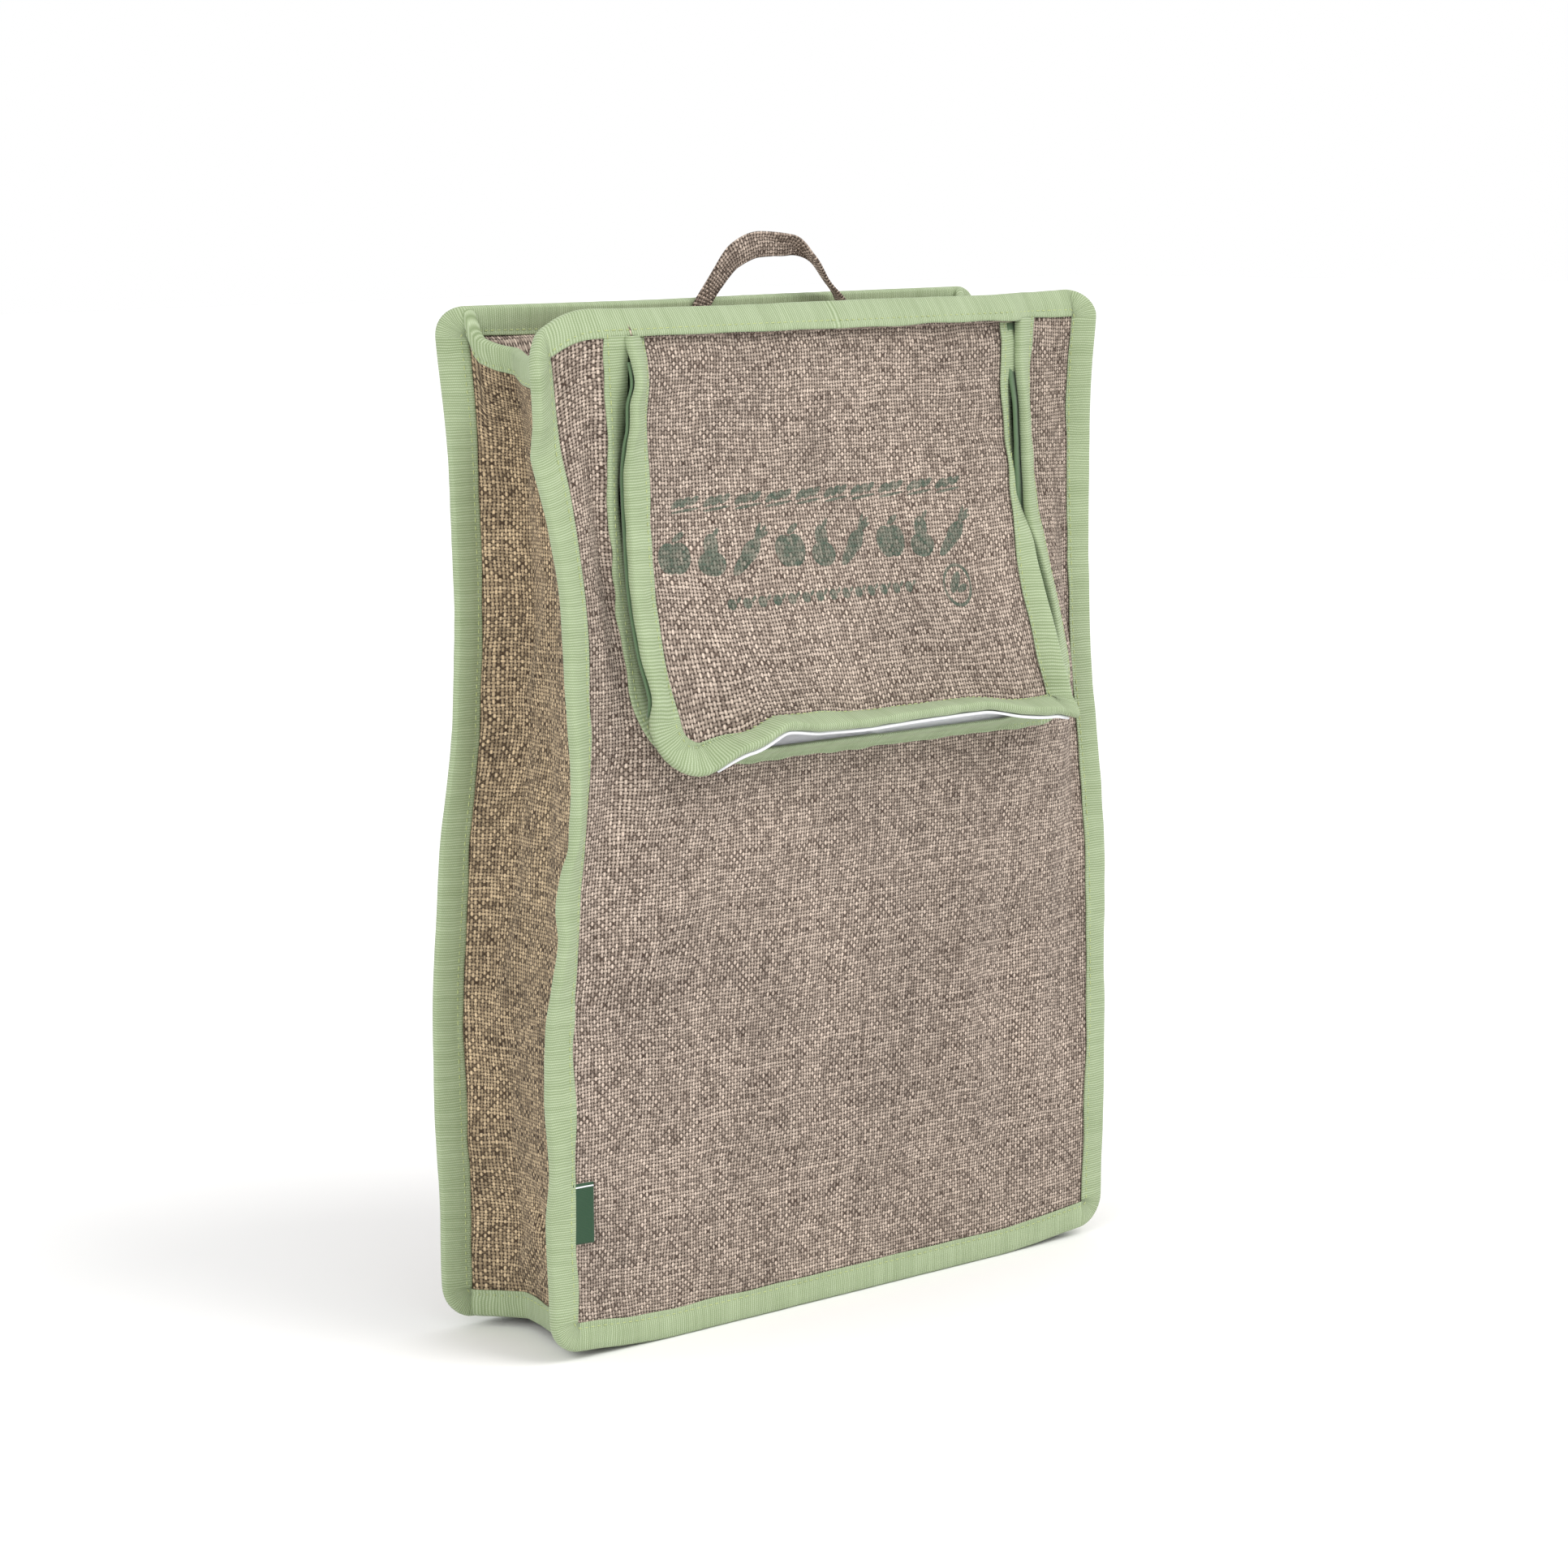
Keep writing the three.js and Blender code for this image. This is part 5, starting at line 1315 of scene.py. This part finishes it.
def level_gusset(made, name, core, out, tab):
    """Top or bottom gusset: its section carried across the width, with a tab on the seam at each end."""
    end_clear = 0.3
    profile = wall_profile(core, out, LEVEL_CELL)
    count, lengths = len(profile), run_lengths(profile)
    middle = [(x, core) for x in steps(-TAB_X + end_clear, TAB_X - end_clear, cell())]
    end = [(-TAB_X, tab), (-TAB_X, (tab + core) / 2)]
    stops = np.array(end + middle + [(-x, z) for x, z in end[::-1]])
    last, run = len(stops), run_lengths(stops)

    def place(i, k):
        rows, ends = profile[k.astype(int)], stops[i.astype(int)]
        return np.column_stack([ends[:, 0], rows[:, 0], np.where(ends[:, 1] != core, ends[:, 1], rows[:, 1])])

    piece = cloth_grid(
        name + "_cloth", np.arange(last, dtype=float), np.arange(count, dtype=float), place, drape,
        made["burlap_front"], flip=core < BAG_HEIGHT / 2,
        keep=lambda i, k: not in_flange(k, count) or not in_flange(i, last),
        maps=lambda i, k: (run[int(i)], lengths[int(k)]),
    )
    settle(piece, [name])


class BAG_OT_gussets(bpy.types.Operator):
    """Make the side, top and bottom gussets"""

    bl_idname = "bag.gussets"
    bl_label = "Gussets"

    def execute(self, context):
        made = finishes()
        side_gusset(made, "left_gusset", -1)
        side_gusset(made, "right_gusset", 1)
        tab = SEAM_CLEAR + EDGE_ROOM
        level_gusset(made, "top_gusset", TOP_Z, PANEL_BOX[3], BAG_HEIGHT - tab)
        level_gusset(made, "bottom_gusset", BASE_Z, PANEL_BOX[2], tab)
        return {"FINISHED"}


class BAG_OT_flap(bpy.types.Operator):
    """Make the flap that hangs over the opening"""

    bl_idname = "bag.flap"
    bl_label = "Flap"

    def execute(self, context):
        left, right, low, _ = FLAP_BOX
        box = (left + EDGE_ROOM, right - EDGE_ROOM, low + EDGE_ROOM, BAG_HEIGHT)
        radii = (RADIUS_LEFT - FLAP_SLOT - EDGE_ROOM, RADIUS_RIGHT - FLAP_SLOT - EDGE_ROOM, SHARP, SHARP)
        piece = cloth_grid(
            "flap_cloth", steps(box[0], box[1], FLAP_CELL), steps(box[2], PANEL_BOX[3], FLAP_CELL),
            lambda x, z: np.column_stack([x, flap_depth(z), z]), drape_flap,
            finishes()["burlap_flap"], keep=lambda x, z: not outside_round(x, z, box, radii),
        )
        settle(piece, ["flap"])
        return {"FINISHED"}


def settle_tape(piece, nodes):
    """Ties a finished tape, a sheet folded lengthwise once, to the imported model like any other piece."""
    settle(piece, nodes)


def tape_cell():
    """Size of the tapes' cells in millimetres."""
    return bpy.context.scene.bag_sizes.tape_cell / MM


class BAG_OT_rim_tapes(bpy.types.Operator):
    """Make the tapes round the front and back panels"""

    bl_idname = "bag.rim_tapes"
    bl_label = "Rim Tapes"

    def execute(self, context):
        path = rim_path(tape_cell())
        for name, side, seed in (("front_rim", -1, 11), ("back_rim", 1, 21)):
            piece = tape_piece(
                name + "_tape", path, TAPE_WIDTH, RIM_SLOT, upright(side * RIM_Y), drape,
                finishes()["green_tape"], True, seed,
            )
            settle_tape(piece, [name + "_binding"])
        return {"FINISHED"}


def depth_place(side, level):
    """Place of a tape on the seam between a side gusset and the top or base."""
    fold = BAG_HEIGHT - SEAM_CLEAR if level > 0 else SEAM_CLEAR

    def place(path, reach, across):
        return np.column_stack([side * (SIDE_X - LAYER + across), path[:, 0], fold - level * reach])
    return place


def depth_path():
    """Path of a short seam from front to back."""
    ys = steps(-SEAM_Y - DEPTH_OVERHANG, SEAM_Y + DEPTH_OVERHANG, DEPTH_CELL)
    return np.column_stack([ys, ys * 0, ys * 0, ys * 0])


DEPTH_SEAMS = (("top_left", -1, 1), ("top_right", 1, 1), ("bottom_left", -1, -1), ("bottom_right", 1, -1))


class BAG_OT_depth_tapes(bpy.types.Operator):
    """Make the tapes on the four short seams from front to back"""

    bl_idname = "bag.depth_tapes"
    bl_label = "Depth Seam Tapes"

    def execute(self, context):
        path = depth_path()
        for name, side, level in DEPTH_SEAMS:
            piece = tape_piece(
                name + "_tape", path, TAPE_WIDTH - SEAM_CLEAR, RIM_SLOT, depth_place(side, level), drape,
                finishes()["green_tape"], False, 31 + side + 3 * level,
            )
            settle_tape(piece, [name + "_binding"])
        return {"FINISHED"}


OPENING_PATH = (OPENING_BOX, RADIUS_LEFT, RADIUS_RIGHT, -1)
FLAP_PATH = (FLAP_BOX, RADIUS_LEFT - FLAP_SLOT, RADIUS_RIGHT - FLAP_SLOT, 1)


class BAG_OT_opening_tapes(bpy.types.Operator):
    """Make the tapes on the edges of the opening and of the flap"""

    bl_idname = "bag.opening_tapes"
    bl_label = "Opening and Flap Tapes"

    def execute(self, context):
        green = finishes()["green_tape"]
        rows = (
            ("opening_tape", OPENING_PATH, TAPE_WIDTH, upright(-PANEL_Y), drape, "opening_binding", 41),
            ("flap_tape", FLAP_PATH, FLAP_TAPE_WIDTH, upright(flap_depth), drape_flap, "flap_binding", 51),
        )
        for name, shape, width, place, move, node_name, seed in rows:
            path = hanging_path(*shape, tape_cell())
            piece = tape_piece(name, path, width, EDGE_SLOT, place, move, green, False, seed)
            settle(piece, [node_name])
        return {"FINISHED"}


class BAG_OT_closure_strips(bpy.types.Operator):
    """Make the closure strips of the opening and of the flap"""

    bl_idname = "bag.closure_strips"
    bl_label = "Closure Strips"

    def execute(self, context):
        made = finishes()
        left, right, low, _ = FLAP_BOX
        tuck, inset, end = 0.5, 1.5, 2.0
        edge, flap_top = FLAP_TAPE_WIDTH - inset, HANG_TOP - STEP_LENGTH
        turn_left, turn_right = left + RADIUS_LEFT, right - RADIUS_RIGHT
        out_left, out_right = OPENING_LEFT - TAPE_WIDTH, OPENING_RIGHT + TAPE_WIDTH
        in_left, in_right = OPENING_LEFT + STRIP_SHOWN, OPENING_RIGHT - STRIP_SHOWN
        base, sill = OPENING_BOTTOM - TAPE_WIDTH, OPENING_BOTTOM + STRIP_REACH
        # The opening's side strips and the flap's left strip are white, but take the dark green finish:
        # painted shade in the slots, tinted by painted reflection of the green tapes.
        on_bag = (
            ("opening_strip_left", out_left, in_left, sill + GAP, HANG_TOP, "painted_shade_strip"),
            ("opening_strip_right", in_right, out_right, sill + GAP, HANG_TOP, "painted_shade_strip"),
            ("opening_strip_bottom", out_left + end, out_right - end, base, sill, "white_strip"),
        )
        on_flap = (
            ("flap_strip_left", left + tuck, left + edge, low + RADIUS_LEFT, flap_top, "painted_shade_strip"),
            ("flap_strip_right", right - edge, right - tuck, low + RADIUS_RIGHT, flap_top, "white_strip"),
            ("flap_strip_bottom", turn_left, turn_right, low + tuck, low + edge, "white_strip"),
        )
        for rows, middle, move in ((on_bag, -PANEL_Y, drape), (on_flap, -FLAP_Y, drape_flap)):
            for name, x0, x1, z0, z1, finish in rows:
                piece = cloth_grid(
                    name + "_cloth", steps(x0, x1, STRIP_CELL[0]), steps(z0, z1, STRIP_CELL[1]),
                    flat_at(middle + STRIP_BACK), move, made[finish], thickness=STRIP,
                )
                settle(piece, [name])
        return {"FINISHED"}


class BAG_OT_hanging_loop(bpy.types.Operator):
    """Make the strap loop at the back of the top"""

    bl_idname = "bag.hanging_loop"
    bl_label = "Hanging Loop"

    def execute(self, context):
        share = np.linspace(0, 1, LOOP_RINGS)
        depth = RIM_Y - RIM_THICKNESS / 2 - GAP - LOOP_THICKNESS / 2
        foot = TOP_Z + CLOTH / 2 + GAP
        line = np.column_stack([
            LOOP_OFFSET + (look_up(LOOP_LINE, "along", share) - 0.5) * LOOP_SPAN,
            depth - look_up(LOOP_LINE, "forward", share) * LOOP_STRAP,
            foot + look_up(LOOP_LINE, "up", share) * LOOP_RISE,
        ])
        ahead = np.gradient(line, axis=0)
        ahead /= np.linalg.norm(ahead, axis=1)[:, None]
        flat = np.column_stack([ahead[:, 2], ahead[:, 0] * 0, -ahead[:, 0]])
        flat /= np.linalg.norm(flat, axis=1)[:, None]
        flat[0], flat[-1] = (1, 0, 0), (-1, 0, 0)
        twist = np.radians(look_up(LOOP_LINE, "twist", share))[:, None]
        wide = flat * np.cos(twist) + np.cross(ahead, flat) * np.sin(twist)
        thick = np.cross(ahead, wide)
        half, rise = LOOP_STRAP / 2, LOOP_THICKNESS / 2
        section = [(-half, 0), (-half + 0.4, rise * 0.8), (-half * 0.5, rise), (0, rise * 1.1)]
        section += [(-w, t) for w, t in section[2::-1]]
        section += [(w, -t) for w, t in section[-2:0:-1]]
        bunch = 0.35 * ripple(share * 90, share * 0, 17, 9)[:, None]
        rings = [line + wide * w + thick * (t + bunch * (abs(w) < half)) for w, t in section]
        points = drape(np.stack(rings, axis=1).reshape(-1, 3))
        run, around = run_lengths(line), [w for w, _ in section]
        piece = tube("hanging_loop_strap", points, run, [*around, around[0]], finishes()["burlap_front"])
        settle(piece, ["hanging_loop"])
        return {"FINISHED"}


class BAG_OT_side_label(bpy.types.Operator):
    """Make the small woven label beside the left rim"""

    bl_idname = "bag.side_label"
    bl_label = "Side Label"

    def execute(self, context):
        over, curl = 1.8, 0.35
        left = -HALF_WIDTH + TAPE_WIDTH - LABEL_TUCK
        depth = -PANEL_Y - CLOTH / 2 - GAP - LABEL_THICKNESS / 2
        piece = cloth_grid(
            "side_label_weave", steps(left, left + LABEL_WIDTH + over, LABEL_CELL),
            steps(LABEL_UP, LABEL_UP + LABEL_HEIGHT, LABEL_CELL),
            lambda x, z: np.column_stack([x, depth - curl * ((x - left) / LABEL_WIDTH) ** 2, z]), drape,
            finishes()["label_weave"], thickness=LABEL_THICKNESS, maps=lambda x, z: (x - left, z - LABEL_UP),
        )
        settle(piece, ["side_label"])
        return {"FINISHED"}


# Stitches


def stitch_tree(material):
    """Geometry Nodes tree that lays thread stitches along edges that carry the cloth's normal."""
    tree = bpy.data.node_groups.new("Seam Stitches", "GeometryNodeTree")
    face = tree.interface
    face.new_socket(name="Geometry", in_out="INPUT", socket_type="NodeSocketGeometry")
    floats = (("Pitch", "Float", 0.003), ("Length", "Float", 0.002), ("Width", "Float", 0.0005))
    for title, kind, default in (*floats, ("Seed", "Int", 4)):
        face.new_socket(name=title, in_out="INPUT", socket_type="NodeSocket" + kind).default_value = default
    face.new_socket(name="Geometry", in_out="OUTPUT", socket_type="NodeSocketGeometry")
    given, leave = tree.nodes.new("NodeGroupInput").outputs, tree.nodes.new("NodeGroupOutput")
    curve = node(tree, "GeometryNodeMeshToCurve", {0: given["Geometry"]}).outputs[0]
    inputs = {"Curve": curve, "Length": given["Pitch"]}
    spaced = node(tree, "GeometryNodeResampleCurve", inputs, mode="LENGTH").outputs[0]
    tangent = node(tree, "GeometryNodeInputTangent").outputs[0]
    inputs = {"Name": "seam_normal"}
    normal = node(tree, "GeometryNodeInputNamedAttribute", inputs, data_type="FLOAT_VECTOR").outputs[0]
    facing = node(tree, "FunctionNodeAlignRotationToVector", {"Vector": normal}, axis="Z").outputs[0]
    inputs = {"Rotation": facing, "Vector": tangent}
    aimed = node(tree, "FunctionNodeAlignRotationToVector", inputs, axis="X", pivot_axis="Z").outputs[0]
    inputs = {2: 0.86, 3: 1.1, "Seed": given["Seed"]}
    dice = node(tree, "FunctionNodeRandomValue", inputs, data_type="FLOAT").outputs[1]
    ball = node(tree, "GeometryNodeMeshUVSphere", {"Segments": 6, "Rings": 5, "Radius": 0.5}).outputs[0]
    inputs = {0: given["Length"], 1: given["Width"], 2: given["Width"]}
    size = node(tree, "ShaderNodeCombineXYZ", inputs).outputs[0]
    shaped = node(tree, "GeometryNodeTransform", {"Geometry": ball, "Scale": size}).outputs[0]
    inputs = {"Points": spaced, "Instance": shaped, "Rotation": aimed, "Scale": dice}
    laid = node(tree, "GeometryNodeInstanceOnPoints", inputs).outputs[0]
    real = node(tree, "GeometryNodeRealizeInstances", {0: laid}).outputs[0]
    smooth = node(tree, "GeometryNodeSetShadeSmooth", {0: real}).outputs[0]
    done = node(tree, "GeometryNodeSetMaterial", {"Geometry": smooth, "Material": material}).outputs[0]
    tree.links.new(done, leave.inputs[0])
    return tree


def seam_line(path, width, slot, place, move, side, closed):
    """Line of a tape's stitches on one of its faces, and the cloth's outward normal along it."""
    sunk, rise = 0.32, 1.0
    inset = bpy.context.scene.bag_sizes.stitch_inset / MM
    reach = np.full(len(path), width - inset)
    level = slot / 2 + TAPE - sunk
    line = move(place(path, reach, np.full(len(path), side * level)))
    raised = move(place(path, reach, np.full(len(path), side * (level + rise))))
    normal = raised - line
    return line, normal / np.linalg.norm(normal, axis=1)[:, None], closed


def all_seams():
    """Stitch lines by the piece of thread that they make."""
    size = tape_cell()
    rim, across = rim_path(size), depth_path()[2:-2]
    opening, flap = hanging_path(*OPENING_PATH, size), hanging_path(*FLAP_PATH, size)
    seams = {}
    for name, side in (("front_rim_stitches", -1), ("back_rim_stitches", 1)):
        place = upright(side * RIM_Y)
        seams[name] = [seam_line(rim, TAPE_WIDTH, RIM_SLOT, place, drape, leg, True) for leg in (-1, 1)]
    seams["depth_stitches"] = [
        seam_line(across, TAPE_WIDTH - SEAM_CLEAR, RIM_SLOT, depth_place(side, level), drape, leg, False)
        for side in (-1, 1) for level in (-1, 1) for leg in (-1, 1)
    ]
    seams["opening_stitches"] = [
        seam_line(opening, TAPE_WIDTH, EDGE_SLOT, upright(-PANEL_Y), drape, -1, False),
        seam_line(flap, FLAP_TAPE_WIDTH, EDGE_SLOT, upright(flap_depth), drape_flap, -1, False),
    ]
    return seams


class BAG_OT_stitches(bpy.types.Operator):
    """Lay the stitches along the tapes' seams"""

    bl_idname = "bag.stitches"
    bl_label = "Stitches"

    def execute(self, context):
        sizes, material = context.scene.bag_sizes, finishes()["sewing_thread"]
        tree = stitch_tree(material)
        sockets = [s for s in tree.interface.items_tree if s.item_type == "SOCKET" and s.in_out == "INPUT"]
        named = {s.name: s.identifier for s in sockets}
        settings = {
            "Pitch": sizes.stitch_pitch, "Length": sizes.stitch_length, "Width": sizes.stitch_width,
            "Seed": sizes.stitch_seed,
        }
        for name, lines in all_seams().items():
            points, normals, edges = [], [], []
            for line, normal, closed in lines:
                start = len(points)
                points += ((line + SHIFT) * MM).tolist()
                normals += normal.tolist()
                edges += [(start + k, start + k + 1) for k in range(len(line) - 1)]
                if closed:
                    edges.append((start + len(line) - 1, start))
            mesh = bpy.data.meshes.new(name + "_line")
            mesh.from_pydata(points, edges, [])
            carried = mesh.attributes.new("seam_normal", "FLOAT_VECTOR", "POINT")
            carried.data.foreach_set("vector", np.array(normals, float).ravel())
            guide = bpy.data.objects.new(name + "_line", mesh)
            context.scene.collection.objects.link(guide)
            laid = guide.modifiers.new("stitches", "NODES")
            laid.node_group = tree
            for title, value in settings.items():
                laid[named[title]] = value
            result = bpy.data.meshes.new_from_object(guide.evaluated_get(context.evaluated_depsgraph_get()))
            if not result.polygons:
                raise RuntimeError(f"{name} came out empty")
            result.name = name
            bpy.data.objects.remove(guide)
            piece = bpy.data.objects.new(name, result)
            context.scene.collection.objects.link(piece)
            settle(piece, [])
        return {"FINISHED"}


class BAG_PT_builder(bpy.types.Panel):
    """Sizes, colours and steps of the storage bag"""

    bl_label = "Storage Bag"
    bl_space_type = "VIEW_3D"
    bl_region_type = "UI"
    bl_category = "Storage Bag"

    def draw(self, context):
        column = self.layout.column()
        for group in (context.scene.bag_sizes, context.scene.bag_colours):
            for key in group.__annotations__:
                column.prop(group, key)
        for step in STEPS:
            column.operator(step.bl_idname)


STEPS = (
    BAG_OT_stage, BAG_OT_side_label, BAG_OT_panels, BAG_OT_gussets, BAG_OT_flap, BAG_OT_rim_tapes,
    BAG_OT_depth_tapes, BAG_OT_opening_tapes, BAG_OT_closure_strips, BAG_OT_hanging_loop,
    BAG_OT_stitches,
)
CLASSES = (BagSizes, BagColours, *STEPS, BAG_PT_builder)


def register():
    for cls in CLASSES:
        bpy.utils.register_class(cls)
    bpy.types.Scene.bag_sizes = PointerProperty(type=BagSizes)
    bpy.types.Scene.bag_colours = PointerProperty(type=BagColours)


def unregister():
    del bpy.types.Scene.bag_sizes
    del bpy.types.Scene.bag_colours
    for cls in reversed(CLASSES):
        bpy.utils.unregister_class(cls)


def main():
    """Builds the whole bag and its stage."""
    register()
    for step in STEPS:
        group, name = step.bl_idname.split(".")
        getattr(getattr(bpy.ops, group), name)()


if __name__ == "__main__":
    main()
